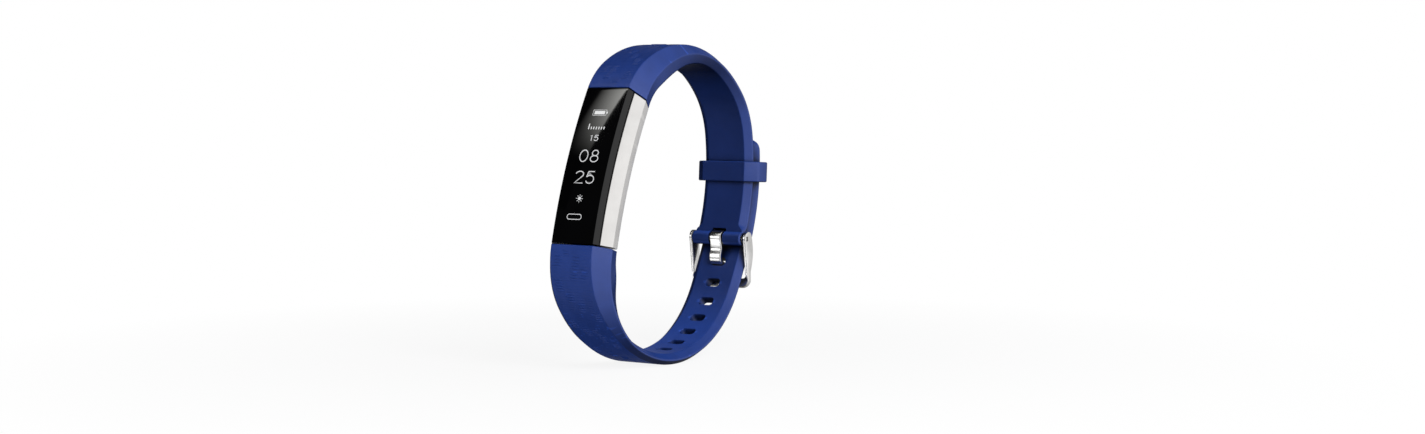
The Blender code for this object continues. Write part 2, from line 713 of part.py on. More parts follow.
def build_housing(frame):
    obj = tracker_arc("tracker_housing", mirrored(HOUSING_SECTION), TRACKER_HALF_SWEEP,
                      "satin_silver", frame, 12)
    lean_upper_end(obj)
    posts = []
    for number, (x, y) in enumerate(screw_places()):
        side = math.copysign(1.0, x)
        post = cylinder(f"post_{number}", 1.2 * MM, (x, y, -5.75 * MM), (x, y, -3.6 * MM), None,
                        frame, 16)
        web_x = sorted((x, side * 6.3 * MM))
        web = box(f"web_{number}", (web_x[0], y - 0.6 * MM, -5.6 * MM),
                  (web_x[1], y + 0.6 * MM, -3.8 * MM), None, frame)
        posts.append((post, web))
    cavity = slab("housing_cavity", 5.9, 2.4, 6.5,
                  (TRACKER_HALF_SWEEP * TRACKER_RADIUS - END_WALL) / TRACKER_RADIUS, None, frame)
    opening = slab("housing_opening", 4.85, 0.5, 2.9, reach_angle(14.4 * MM), None, frame)
    recess = slab("housing_recess", 5.6, 0.5, 1.75, reach_angle(15.45 * MM), None, frame)
    for cutter in (cavity, opening, recess):
        boolean(obj, cutter, "DIFFERENCE")
    for post, web in posts:
        boolean(obj, post, "UNION")
        boolean(obj, web, "UNION")
    for number, (x, y) in enumerate(screw_places()):
        hole = cylinder(f"post_hole_{number}", 0.65 * MM, (x, y, -7 * MM), (x, y, -3 * MM), None,
                        frame, 14)
        boolean(obj, hole, "DIFFERENCE")
    for side, sign in (("upper", 1), ("lower", -1)):
        half = NECK_HALF_WIDTH + SOCKET_GAP
        low = (-half, -2 * END_WALL, -PLUG_BOTTOM - SOCKET_GAP)
        high = (half, MM, -PLUG_TOP + SOCKET_GAP)
        window = box(f"window_{side}", low, high, None, frame=end_frame(sign))
        boolean(obj, window, "DIFFERENCE")


def build_rear_cover(frame):
    obj = tracker_arc("rear_cover", mirrored(COVER_SECTION), reach_angle(COVER_HALF_LENGTH),
                      "black_plastic", frame, 12)
    for side, sign in (("upper", 1), ("lower", -1)):
        slope = Matrix.Translation((0, sign * COVER_SLOPE_START, -7.0 * MM)) @ Matrix.Rotation(
            -sign * math.radians(37), 4, "X")
        reach = sorted((0.0, sign * 5 * MM))
        wedge = box(f"wedge_{side}", (-9 * MM, reach[0], -6 * MM), (9 * MM, reach[1], 6 * MM), None,
                    frame, slope)
        boolean(obj, wedge, "DIFFERENCE")
    cavity = slab("cover_cavity", 5.0, 5.0, 7.2, reach_angle(10.8 * MM), None, frame, 5)
    boolean(obj, cavity, "DIFFERENCE")
    groove = slab("groove_outer", 6.35, 5.0, 6.4, reach_angle(14.9 * MM), None, frame, 7)
    core = slab("groove_core", 5.55, 4.0, 7.4, reach_angle(14.1 * MM), None, frame, 9)
    boolean(groove, core, "DIFFERENCE")
    boolean(obj, groove, "DIFFERENCE")
    window_hole = cylinder("window_hole", 3.4 * MM, (0, 0, -10 * MM), (0, 0, -7 * MM), None,
                           frame, 28)
    boolean(obj, window_hole, "DIFFERENCE")
    for number, (x, y) in enumerate(screw_places()):
        top = sagitta(y)
        through = cylinder(f"cover_hole_{number}", 0.65 * MM, (x, y, -10 * MM), (x, y, -4 * MM),
                           None, frame, 14)
        sink = cylinder(f"cover_sink_{number}", 1.05 * MM, (x, y, -10 * MM),
                        (x, y, top - 7.45 * MM), None, frame, 16)
        boolean(obj, through, "DIFFERENCE")
        boolean(obj, sink, "DIFFERENCE")
    ring("rear_cover_seal", (6.2, 14.75), (5.7, 14.25), 5.85, 6.25, "black_rubber", frame)


def sagitta(y):
    """Drop of the tracker's arc at a distance from its middle."""
    return math.sqrt(TRACKER_RADIUS ** 2 - y ** 2) - TRACKER_RADIUS


def build_screws(frame):
    for number, (x, y) in enumerate(screw_places()):
        seat = sagitta(y)
        profile = [(0.0, -4.1), (0.5, -4.1), (0.5, -7.6), (0.9, -7.6), (0.9, -7.95), (0.0, -7.95)]
        points = [(radius * MM, z * MM) for radius, z in profile]
        screw = turned(f"rear_screw_{number + 1}", points, (x, y, seat), "motor_steel", frame, 14)
        low = (x - 0.65 * MM, y - 0.12 * MM, seat - 8.2 * MM)
        high = (x + 0.65 * MM, y + 0.12 * MM, seat - 7.78 * MM)
        boolean(screw, box(f"slot_{number}", low, high, None, frame), "DIFFERENCE")


def build_sensor(frame):
    face = -SENSOR_FACE_DEPTH / MM
    profile = [(0.0, -8.05), (2.7, -8.05), (2.7, -6.75), (3.7, -6.75), (3.7, -7.05), (3.1, -7.05),
               (3.1, face + 0.25), (2.85, face), (0.0, face)]
    points = [(radius * MM, z * MM) for radius, z in profile]
    turned("sensor_window", points, (0, 0, 0), "dark_window", frame)
    shield = box("sensor_light_shield", (-1.15 * MM, -1.15 * MM, -7.75 * MM),
                 (1.15 * MM, 1.15 * MM, -6.75 * MM), "black_plastic", frame)
    well = box("shield_well", (-0.95 * MM, -0.95 * MM, -8 * MM), (0.95 * MM, 0.95 * MM, -6 * MM),
               None, frame)
    boolean(shield, well, "DIFFERENCE")
    box("photodiode", (-0.7 * MM, -0.7 * MM, -7.25 * MM), (0.7 * MM, 0.7 * MM, -6.75 * MM),
        "chip_black", frame)
    for name, y in (("led_upper", 1.85), ("led_lower", -1.85)):
        box(name, (-0.8 * MM, (y - 0.45) * MM, -7.2 * MM), (0.8 * MM, (y + 0.45) * MM, -6.75 * MM),
            "led_green", frame)


def build_electronics(frame):
    box("main_board", (-4.6 * MM, -10.2 * MM, -6.6 * MM), (4.6 * MM, 10.2 * MM, -6.1 * MM),
        "green_board", frame)
    box("microcontroller", (-2.2 * MM, -3.0 * MM, -5.95 * MM), (2.2 * MM, 1.4 * MM, -5.45 * MM),
        "chip_black", frame)
    box("accelerometer", (-1.0 * MM, -8.2 * MM, -5.95 * MM), (1.0 * MM, -6.2 * MM, -5.45 * MM),
        "chip_black", frame)
    box("antenna", (-2.4 * MM, 11.2 * MM, -3.75 * MM), (2.4 * MM, 12.6 * MM, -3.45 * MM),
        "gold", frame)
    slab("display_panel", 4.5, 1.95, 2.75, reach_angle(12.4 * MM), "oled_panel", frame, 8)
    box("battery_foam", (-4.4 * MM, -9.3 * MM, -3.6 * MM), (4.4 * MM, 3.2 * MM, -3.3 * MM),
        "grey_foam", frame)
    box("battery", (-4.7 * MM, -10.2 * MM, -5.3 * MM), (4.7 * MM, 3.6 * MM, -3.75 * MM),
        "battery_foil", frame)
    for name, x, colour in (("battery_lead_positive", 3.4, "red_wire"),
                            ("battery_lead_negative", -3.4, "black_wire")):
        curve = bpy.data.curves.new(name, "CURVE")
        curve.dimensions = "3D"
        curve.bevel_depth = 0.25 * MM
        curve.bevel_resolution = 2
        curve.use_fill_caps = True
        spline = curve.splines.new("POLY")
        route = [(x, 3.9, -4.3), (x, 4.3, -4.4), (x, 4.6, -4.7), (x, 4.7, -5.8)]
        spline.points.add(len(route) - 1)
        for point, place in zip(spline.points, route):
            point.co = (*[value * MM for value in place], 1.0)
        curve.materials.append(finish(colour))
        lead = bpy.data.objects.new(name, curve)
        PARTS.objects.link(lead)
        lead.parent = frame
    build_flex(frame)


def build_flex(frame):
    """A thin strip from under the display, round the battery's end, to the board."""
    route = [(-9.8, -3.42), (-10.3, -3.45), (-10.75, -3.8), (-10.85, -4.6), (-10.75, -5.6),
             (-10.3, -5.85), (-9.4, -5.9)]
    half = 2.0 * MM
    points, faces = [], []
    for y, z in route:
        points += [(-half, y * MM, z * MM), (half, y * MM, z * MM)]
    for i in range(len(route) - 1):
        faces.append((2 * i, 2 * i + 1, 2 * i + 3, 2 * i + 2))
    mesh = bpy.data.meshes.new("display_flex")
    mesh.from_pydata(points, [], faces)
    mesh.materials.append(finish("amber_flex"))
    flex = bpy.data.objects.new("display_flex", mesh)
    PARTS.objects.link(flex)
    flex.parent = frame
    shell = flex.modifiers.new("thickness", "SOLIDIFY")
    shell.thickness = 0.12 * MM
    shell.offset = 0.0
    shell.use_even_offset = True


def build_motor(frame):
    centre = (0, MOTOR_Y, 0)
    outer = MOTOR_RADIUS / MM
    case = [(0.0, -3.3), (outer, -3.3), (outer, -5.2), (2.7, -5.2), (2.7, -3.6), (0.0, -3.6)]
    turned("motor_case", [(r * MM, z * MM) for r, z in case], centre, "motor_steel", frame, 24)
    base = [(0.0, -5.35), (outer, -5.35), (outer, -5.75), (0.0, -5.75)]
    turned("motor_base", [(r * MM, z * MM) for r, z in base], centre, "green_board", frame, 24)
    shaft = [(0.0, -3.75), (0.3, -3.75), (0.3, -5.2), (0.0, -5.2)]
    turned("motor_shaft", [(r * MM, z * MM) for r, z in shaft], centre, "motor_steel", frame, 12)
    spin = empty("motor_axis", centre, parent=frame)
    rotor = cylinder("motor_rotor", 2.4 * MM, (0, 0, -4.9 * MM), (0, 0, -3.85 * MM), "gold",
                     spin, 24)
    boolean(rotor, cylinder("rotor_bore", 0.5 * MM, (0, 0, -6 * MM), (0, 0, -3 * MM), None, spin,
                            12), "DIFFERENCE")
    cut = box("rotor_flat", (-3 * MM, 0.9 * MM, -6 * MM), (3 * MM, 3 * MM, -3 * MM), None, spin)
    boolean(rotor, cut, "DIFFERENCE")


def build_plug(side, sign):
    """A moulded tongue that the strap clicks on: flange inside the wall, neck, block outside."""
    frame = end_frame(sign)
    half = PLUG_HALF_WIDTH[side]
    outside = END_GAP + 0.1 * MM
    obj = box(f"{side}_plug", (-half, outside, -PLUG_BOTTOM), (half, PLUG_LENGTH[side], -PLUG_TOP),
              "black_plastic", frame=frame)
    inside = END_WALL + 0.25 * MM
    neck = box(f"{side}_neck", (-NECK_HALF_WIDTH, -inside - 0.2 * MM, -PLUG_BOTTOM + 0.1 * MM),
               (NECK_HALF_WIDTH, outside + 0.5 * MM, -PLUG_TOP - 0.1 * MM), None, frame=frame)
    flange = box(f"{side}_flange", (-FLANGE_HALF_WIDTH, -inside - 0.5 * MM, -PLUG_BOTTOM - 0.3 * MM),
                 (FLANGE_HALF_WIDTH, -inside, -PLUG_TOP + 0.3 * MM), None, frame=frame)
    boolean(obj, neck, "UNION")
    boolean(obj, flange, "UNION")
    if side == "lower":
        for number in range(4):
            x = (number - 1.5) * CONTACT_PITCH
            groove = box(f"groove_{number}", (x - 0.75 * MM, 1.4 * MM, -PLUG_TOP - 0.35 * MM),
                         (x + 0.75 * MM, 7.2 * MM, -PLUG_TOP + MM), None, frame=frame)
            boolean(obj, groove, "DIFFERENCE")
            box(f"charge_contact_{number + 1}", (x - 0.6 * MM, 1.6 * MM, -PLUG_TOP - 0.2 * MM),
                (x + 0.6 * MM, 7.0 * MM, -PLUG_TOP), "gold", frame=frame)


# ---------------------------------------------------------------- assembly

def build_band():
    build_upper_strap()
    build_lower_strap()
    hinge = empty("spring_bar_axis", BAR_CENTRE)
    build_spring_bar(hinge)
    build_buckle_frame(hinge)
    build_tongue(hinge)
    build_keeper()
    tracker = empty("tracker_frame", TRACKER_MIDDLE, (math.pi / 2 - TRACKER_TILT, 0.0, 0.0))
    build_lens(tracker)
    build_housing(tracker)
    build_rear_cover(tracker)
    build_screws(tracker)
    build_sensor(tracker)
    build_electronics(tracker)
    build_motor(tracker)
    build_plug("upper", 1)
    build_plug("lower", -1)


build_band()
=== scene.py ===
"""Looks of the fitness tracker band: fine surfaces, materials, studio and camera round the CAD frame.

Frame: +Z up, X along the wrist, the display faces -Y and leans back. The ring of the band lies in
the YZ plane, and sections run across it in X. A heading is an angle from +Z towards +Y. A depth is
a distance below the band's outer surface. Lengths are in metres unless a name or comment says mm.
"""

import json
import math

import bmesh
import bpy
from mathutils import Matrix, Vector


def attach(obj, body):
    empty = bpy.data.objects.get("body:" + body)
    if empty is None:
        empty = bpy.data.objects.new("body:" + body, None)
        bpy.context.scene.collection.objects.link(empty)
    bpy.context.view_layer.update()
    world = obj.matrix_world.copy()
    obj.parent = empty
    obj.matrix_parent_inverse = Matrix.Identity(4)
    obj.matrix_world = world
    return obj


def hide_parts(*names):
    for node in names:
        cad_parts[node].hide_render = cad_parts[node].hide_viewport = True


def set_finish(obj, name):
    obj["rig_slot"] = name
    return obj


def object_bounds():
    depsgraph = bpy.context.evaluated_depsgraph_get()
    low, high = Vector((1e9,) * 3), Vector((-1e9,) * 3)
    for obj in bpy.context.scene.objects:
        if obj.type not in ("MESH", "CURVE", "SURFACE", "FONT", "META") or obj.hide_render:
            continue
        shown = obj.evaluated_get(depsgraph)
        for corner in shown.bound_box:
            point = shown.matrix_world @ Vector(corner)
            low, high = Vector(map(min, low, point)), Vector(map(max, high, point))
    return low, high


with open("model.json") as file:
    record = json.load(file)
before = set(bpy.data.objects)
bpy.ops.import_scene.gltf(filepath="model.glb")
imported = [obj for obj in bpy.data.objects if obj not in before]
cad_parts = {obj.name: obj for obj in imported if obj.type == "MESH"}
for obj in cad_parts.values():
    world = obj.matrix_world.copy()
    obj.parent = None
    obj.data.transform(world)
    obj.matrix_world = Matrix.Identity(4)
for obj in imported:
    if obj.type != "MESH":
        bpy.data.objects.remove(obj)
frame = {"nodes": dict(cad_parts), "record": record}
CAD_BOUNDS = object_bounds()

MM = 0.001

# ---------------------------------------------------------------- driving dimensions, as in the CAD

TRACKER_MIDDLE = Vector((0.0, -25.96 * MM, 8.82 * MM))
TRACKER_TILT = math.radians(21.3)
TRACKER_RADIUS = 122 * MM
TRACKER_HALF_SWEEP = math.radians(7.6)
END_GAP = 0.3 * MM
UPPER_END_REACH = 0.9 * MM
UPPER_END_FALL = 0.29
LEAN_FADE = 8 * MM

UPPER_ARCS = [(15.5, 32.3), (29.0, 76.0), (18.4, 35.2), (43.3, 31.4)]
LOWER_ARCS = [(16.5, 52.8), (33.0, 52.1), (26.8, 61.5)]
OVERLAP_GAP = 0.3 * MM
TAIL_REACH = 22.8 * MM

THICK_END = {"flat": 5.15, "wide": 7.7, "wide_depth": 3.4, "inner": 7.0, "depth": 6.0}
THIN_END = {"flat": 4.95, "wide": 6.4, "wide_depth": 1.0, "inner": 4.65, "depth": 2.3}
UPPER_TAPER = (8 * MM, 42 * MM)
LOWER_TAPER = (6 * MM, 27 * MM)
WIDTH_TAPER = 45 * MM
TIP_LENGTH = 3.2 * MM

HOLE_PITCH = 5.1 * MM
HOLE_WIDTH = 3.6 * MM
HOLE_LENGTH = 2.1 * MM
HOLES_BELOW = 6
HOLES_ABOVE = 2

BAR_DEPTH = 1.75 * MM
LOOP_RADIUS = 1.5 * MM
LOOP_BORE = 1.0 * MM
LOOP_HALF_WIDTH = 6.2 * MM
NOTCH_HALF_WIDTH = 1.8 * MM
NOTCH_REACH = 2.1 * MM

FRAME_HALF_WIDTH = 7.35 * MM
FRAME_ARM = 0.7 * MM
CROSSBAR_DEPTH = 1.3 * MM
CROSSBAR_WIDTH = 1.9 * MM
CROSSBAR_CLEARANCE = 0.35 * MM
FRAME_LENGTH = 9.1 * MM
FRAME_CORNER = 1.9 * MM
FRAME_EAR = 1.45 * MM
EAR_SHIFT = 0.65 * MM
PIN_HOLE = 0.52 * MM
TONGUE_HALF_WIDTH = 1.45 * MM
TONGUE_THICKNESS = 0.9 * MM
KNUCKLE_OUTER = 1.65 * MM
KNUCKLE_BORE = 1.1 * MM
KNUCKLE_HALF_WIDTH = 1.35 * MM
HOLE_FROM_BAR = 4.65 * MM

KEEPER_START = 8.1 * MM
KEEPER_LENGTH = 4.4 * MM

# ---------------------------------------------------------------- fine detail

STRAP_STEP = 0.25 * MM
WEAVE_STEP = 0.1 * MM
WEAVE_ROW = 0.6 * MM
WEAVE_HEIGHT = 0.13 * MM
WEAVE_START = 0.6 * MM
WEAVE_BLOCK = 4
WEAVE_DASH = 2.3 * MM


# ---------------------------------------------------------------- the ring's side outline

def direction(heading):
    return Vector((0.0, math.sin(heading), math.cos(heading)))


class Outline:
    """A run of points on the band's outer surface with headings, sampled finely."""

    SAMPLE = 0.4 * MM

    def __init__(self, start, heading, side):
        """side is +1 when the outside lies to the left of travel, else -1."""
        self.points = [start.copy()]
        self.headings = [heading]
        self.lengths = [0.0]
        self.side = side

    def add(self, point, heading):
        self.lengths.append(self.lengths[-1] + (point - self.points[-1]).length)
        self.points.append(point)
        self.headings.append(heading)

    def arc(self, radius, turn):
        """Add an arc; a positive turn swings the heading from +Z towards +Y."""
        steps = max(2, round(radius * abs(turn) / self.SAMPLE))
        first, begin = self.headings[-1], self.points[-1].copy()
        bend = math.copysign(1 / radius, turn)
        for i in range(1, steps + 1):
            heading = first + turn * i / steps
            y = (math.cos(first) - math.cos(heading)) / bend
            z = (math.sin(heading) - math.sin(first)) / bend
            self.add(begin + Vector((0.0, y, z)), heading)

    def curve_to(self, point, heading):
        """Add a smooth curve that leaves and arrives along the headings."""
        begin, first = self.points[-1].copy(), self.headings[-1]
        pull = (point - begin).length / 3
        handles = (begin, begin + direction(first) * pull, point - direction(heading) * pull, point)
        steps = max(2, round((point - begin).length / self.SAMPLE))
        for i in range(1, steps + 1):
            t = i / steps
            u = 1 - t
            weights = (u ** 3, 3 * u * u * t, 3 * u * t * t, t ** 3)
            place = sum((h * w for h, w in zip(handles, weights)), Vector())
            self.add(place, first + (heading - first) * (3 * t * t - 2 * t ** 3))

    def at(self, length):
        """Point and heading at a distance along the outline, run on straight past its ends."""
        if length <= 0:
            return self.points[0] + direction(self.headings[0]) * length, self.headings[0]
        for i in range(1, len(self.lengths)):
            if self.lengths[i] >= length:
                step = self.lengths[i] - self.lengths[i - 1]
                t = (length - self.lengths[i - 1]) / step
                first, second = self.headings[i - 1], self.headings[i]
                middle = (first + second) / 2
                bulge = (second - first) * step * t * (1 - t) / 2
                point = self.points[i - 1].lerp(self.points[i], t) - direction(middle + math.pi / 2) * bulge
                return point, first * (1 - t) + second * t
        over = length - self.lengths[-1]
        return self.points[-1] + direction(self.headings[-1]) * over, self.headings[-1]

    def outward(self, heading):
        return Vector((0.0, -math.cos(heading), math.sin(heading))) * self.side

    def frame(self, length):
        """Matrix with X across, Y along the outline and Z outwards, on the outer surface."""
        point, heading = self.at(length)
        along, out = direction(heading), self.outward(heading)
        across = along.cross(out)
        turn = Matrix((across, along, out)).transposed().to_4x4()
        return Matrix.Translation(point) @ turn

    @property
    def length(self):
        return self.lengths[-1]


def tracker_end(sign):
    """Outer surface point and heading at the tracker's upper (+1) or lower (-1) end."""
    out = Vector((0.0, -math.cos(TRACKER_TILT), math.sin(TRACKER_TILT)))
    centre = TRACKER_MIDDLE - out * TRACKER_RADIUS
    heading = TRACKER_TILT + sign * TRACKER_HALF_SWEEP
    point = centre + Vector((0.0, -math.cos(heading), math.sin(heading))) * TRACKER_RADIUS
    return point, heading if sign > 0 else heading + math.pi


def end_lean(depth):
    """How far the upper joint's face lies past the tracker's end, at a depth."""
    return UPPER_END_REACH - UPPER_END_FALL * depth


def upper_outline():
    point, heading = tracker_end(1)
    outline = Outline(point + direction(heading) * END_GAP, heading, 1)
    for radius, turn in UPPER_ARCS:
        outline.arc(radius * MM, math.radians(turn))
    return outline


def lower_outline(upper):
    """Round the bottom, then up over the outside of the upper strap."""
    point, heading = tracker_end(-1)
    outline = Outline(point + direction(heading) * END_GAP, heading, -1)
    for radius, turn in LOWER_ARCS:
        outline.arc(radius * MM, -math.radians(turn))
    lift = OVERLAP_GAP + THIN_END["depth"] * MM
    place = upper.length
    first = True
    while place > upper.length - TAIL_REACH:
        base, back = upper.at(place)
        top = base + upper.outward(back) * lift
        if first:
            outline.curve_to(top, back - math.pi)
            first = False
        else:
            outline.add(top, back - math.pi)
        place -= Outline.SAMPLE
    return outline


UPPER = upper_outline()
LOWER = lower_outline(UPPER)
BAR_CENTRE = UPPER.frame(UPPER.length) @ Vector((0.0, 0.0, -BAR_DEPTH))
TRACKER = Matrix.Translation(TRACKER_MIDDLE) @ Matrix.Rotation(math.pi / 2 - TRACKER_TILT, 4, "X")


def engaged_place():
    """Distance along the lower outline of the hole that the tongue passes through."""
    target = BAR_CENTRE + direction(UPPER.at(UPPER.length)[1]) * HOLE_FROM_BAR
    near = min(range(len(LOWER.points)), key=lambda i: (LOWER.points[i] - target).length)
    return LOWER.lengths[near]


ENGAGED = engaged_place()


def crossbar_frame():
    """Frame on the lower strap's outer surface where the crossbar lies."""
    place = ENGAGED
    while (LOWER.at(place)[0] - BAR_CENTRE).length < FRAME_LENGTH:
        place -= Outline.SAMPLE
    return LOWER.frame(place)


# ---------------------------------------------------------------- mesh tools

def ease(value):
    value = min(1.0, max(0.0, value))
    return value * value * (3 - 2 * value)


def round_corner(before, corner, after, radius, steps):
    """Points of the arc that rounds a corner of a 2D outline."""
    before, corner, after = Vector(before), Vector(corner), Vector(after)
    back, ahead = (before - corner), (after - corner)
    room = 0.49 * min(back.length, ahead.length)
    back.normalize()
    ahead.normalize()
    half = back.angle(ahead) / 2
    reach = min(radius / math.tan(half), room)
    radius = reach * math.tan(half)
    centre = corner + (back + ahead).normalized() * (radius / math.sin(half))
    start, end = corner + back * reach - centre, corner + ahead * reach - centre
    sweep = math.pi - 2 * half
    points = []
    for i in range(steps + 1):
        t = i / steps
        mix = start * math.sin((1 - t) * sweep) + end * math.sin(t * sweep)
        points.append(centre + mix / math.sin(sweep))
    return points


def rounded(corners, steps=5):
    """A closed 2D outline of (u, v, radius) corners, with its corners rounded."""
    points = []
    for i, (u, v, radius) in enumerate(corners):
        before, after = corners[i - 1], corners[(i + 1) % len(corners)]
        points += round_corner(before[:2], (u, v), after[:2], radius, steps)
    return points


def mirrored(half):
    """A closed outline from its right half of (x, depth, radius) in mm: down the right, up the left."""
    right = [(x * MM, depth * MM, radius * MM) for x, depth, radius in half]
    return right + [(-x, depth, radius) for x, depth, radius in reversed(right)]


def drawn_in(points, amount):
    """An outline drawn in towards its middle by an amount on every side."""
    low = Vector((min(p[0] for p in points), min(p[1] for p in points)))
    high = Vector((max(p[0] for p in points), max(p[1] for p in points)))
    middle, half = (low + high) / 2, (high - low) / 2
    keep_u, keep_v = 1 - amount / half.x, 1 - amount / half.y
    return [(middle.x + (p[0] - middle.x) * keep_u, middle.y + (p[1] - middle.y) * keep_v)
            for p in points]


def end_rounding(length, radius, steps=5):
    """(distance, amount drawn in) of the stations that round an end edge."""
    angles = [math.pi / 2 * i / steps for i in range(steps + 1)]
    return [(length + radius * (1 - math.sin(a)), radius * (1 - math.cos(a))) for a in reversed(angles)]


def skin(bm, rings, closed=False):
    """Faces between rings of equal point counts; an open run is capped at both ends."""
    rows = [[bm.verts.new(point) for point in ring] for ring in rings]
    pairs = list(zip(rows, rows[1:]))
    if closed:
        pairs.append((rows[-1], rows[0]))
    else:
        bm.faces.new(rows[0])
        bm.faces.new(rows[-1])
    count = len(rows[0])
    for row, following in pairs:
        for i in range(count):
            j = (i + 1) % count
            bm.faces.new((row[i], row[j], following[j], following[i]))


def solid(name, bm, sharp=35):
    """An object from a bmesh, shaded smooth apart from edges sharper than an angle in degrees."""
    bmesh.ops.recalc_face_normals(bm, faces=bm.faces)
    mesh = bpy.data.meshes.new(name)
    bm.to_mesh(mesh)
    bm.free()
    mesh.shade_smooth()
    mesh.set_sharp_from_angle(angle=math.radians(sharp))
    obj = bpy.data.objects.new(name, mesh)
    bpy.context.scene.collection.objects.link(obj)
    return obj


def settle(obj, sharp=35):
    """Apply an object's modifiers to its mesh."""
    graph = bpy.context.evaluated_depsgraph_get()
    mesh = bpy.data.meshes.new_from_object(obj.evaluated_get(graph))
    obj.modifiers.clear()
    obj.data = mesh
    mesh.shade_smooth()
    mesh.set_sharp_from_angle(angle=math.radians(sharp))


def carve(obj, bm, operation="DIFFERENCE", sharp=35):
    """Cut the bmesh's solids from an object, or join them on, and apply the result."""
    tool = solid("tool", bm)
    modifier = obj.modifiers.new("carve", "BOOLEAN")
    modifier.operation = operation
    modifier.solver = "EXACT"
    modifier.object = tool
    settle(obj, sharp)
    bpy.data.objects.remove(tool)


def add_box(bm, low, high, place=Matrix()):
    low, high = Vector(low), Vector(high)
    size = Matrix.Diagonal((*(high - low), 1.0))
    bmesh.ops.create_cube(bm, size=1.0, matrix=place @ Matrix.Translation((low + high) / 2) @ size)


def add_round_bar(bm, centre, axis, half_length, radius, rim=0.0, sides=72):
    """A round bar along an axis with its rims rounded."""
    turn = Vector((0, 0, 1)).rotation_difference(Vector(axis)).to_matrix().to_4x4()
    place = Matrix.Translation(centre) @ turn
    if rim:
        stations = [(-half_length + rim - rim * math.sin(a), radius - rim + rim * math.cos(a))
                    for a in (math.pi / 2 * i / 5 for i in range(5, -1, -1))]
        stations += [(-z, r) for z, r in reversed(stations)]
    else:
        stations = [(-half_length, radius), (half_length, radius)]
    rings = []
    for z, r in stations:
        angles = [math.tau * i / sides for i in range(sides)]
        rings.append([place @ Vector((r * math.cos(a), r * math.sin(a), z)) for a in angles])
    skin(bm, rings)


def add_slot(bm, place, half_width, half_length, corner, depth, flare):
    """A cutter for a slot through a strap, flared at both faces so that its edges come out rounded."""
    steps = 5
    angles = [math.pi / 2 * i / steps for i in range(steps + 1)]
    top = [(flare * (1 - math.cos(a)), flare * (1 - math.sin(a))) for a in angles]
    levels = [(-1.0 * MM, flare)] + [(d, grow) for d, grow in top]
    levels += [(depth - d, grow) for d, grow in reversed(levels)]
    rings = []
    for d, grow in levels:
        u, v, r = half_width + grow, half_length + grow, corner + grow
        outline = rounded([(u, v, r), (u, -v, r), (-u, -v, r), (-u, v, r)], 6)
        rings.append([place @ Vector((p[0], p[1], -d)) for p in outline])
    skin(bm, rings)


# ---------------------------------------------------------------- materials

def node(tree, kind, settings=None, **inputs):
    """Add a node; inputs are named with underscores for spaces and take values or sockets."""
    made = tree.nodes.new(kind)
    for key, value in (settings or {}).items():
        setattr(made, key, value)
    for key, value in inputs.items():
        target = made.inputs[int(key[1:]) if key[0] == "i" and key[1:].isdigit() else key.replace("_", " ")]
        if isinstance(value, bpy.types.NodeSocket):
            tree.links.new(value, target)
        else:
            target.default_value = value
    return made


def math_node(tree, operation, first, second=0.0):
    return node(tree, "ShaderNodeMath", {"operation": operation}, i0=first, i1=second).outputs[0]


def ramp(tree, factor, stops):
    """A colour ramp from (position, colour) stops; a colour may be one grey value."""
    made = node(tree, "ShaderNodeValToRGB", None, Fac=factor)
    elements = made.color_ramp.elements
    while len(elements) < len(stops):
        elements.new(0.5)
    for element, (position, colour) in zip(elements, stops):
        element.position = position
        element.color = (*colour, 1.0) if isinstance(colour, tuple) else (colour, colour, colour, 1.0)
    return made.outputs["Color"]


def noise(tree, scale, detail=3.0, stretch=(1, 1, 1), roughness=0.5):
    """Noise in object space; scale is in features a metre."""
    place = node(tree, "ShaderNodeTexCoord").outputs["Object"]
    placed = node(tree, "ShaderNodeMapping", None, Vector=place, Scale=stretch).outputs[0]
    return node(tree, "ShaderNodeTexNoise", None, Vector=placed, Scale=scale, Detail=detail,
                Roughness=roughness).outputs["Fac"]


def shifted(colour, amount):
    return tuple(min(1.0, channel * amount) for channel in colour)


MATERIALS = {}


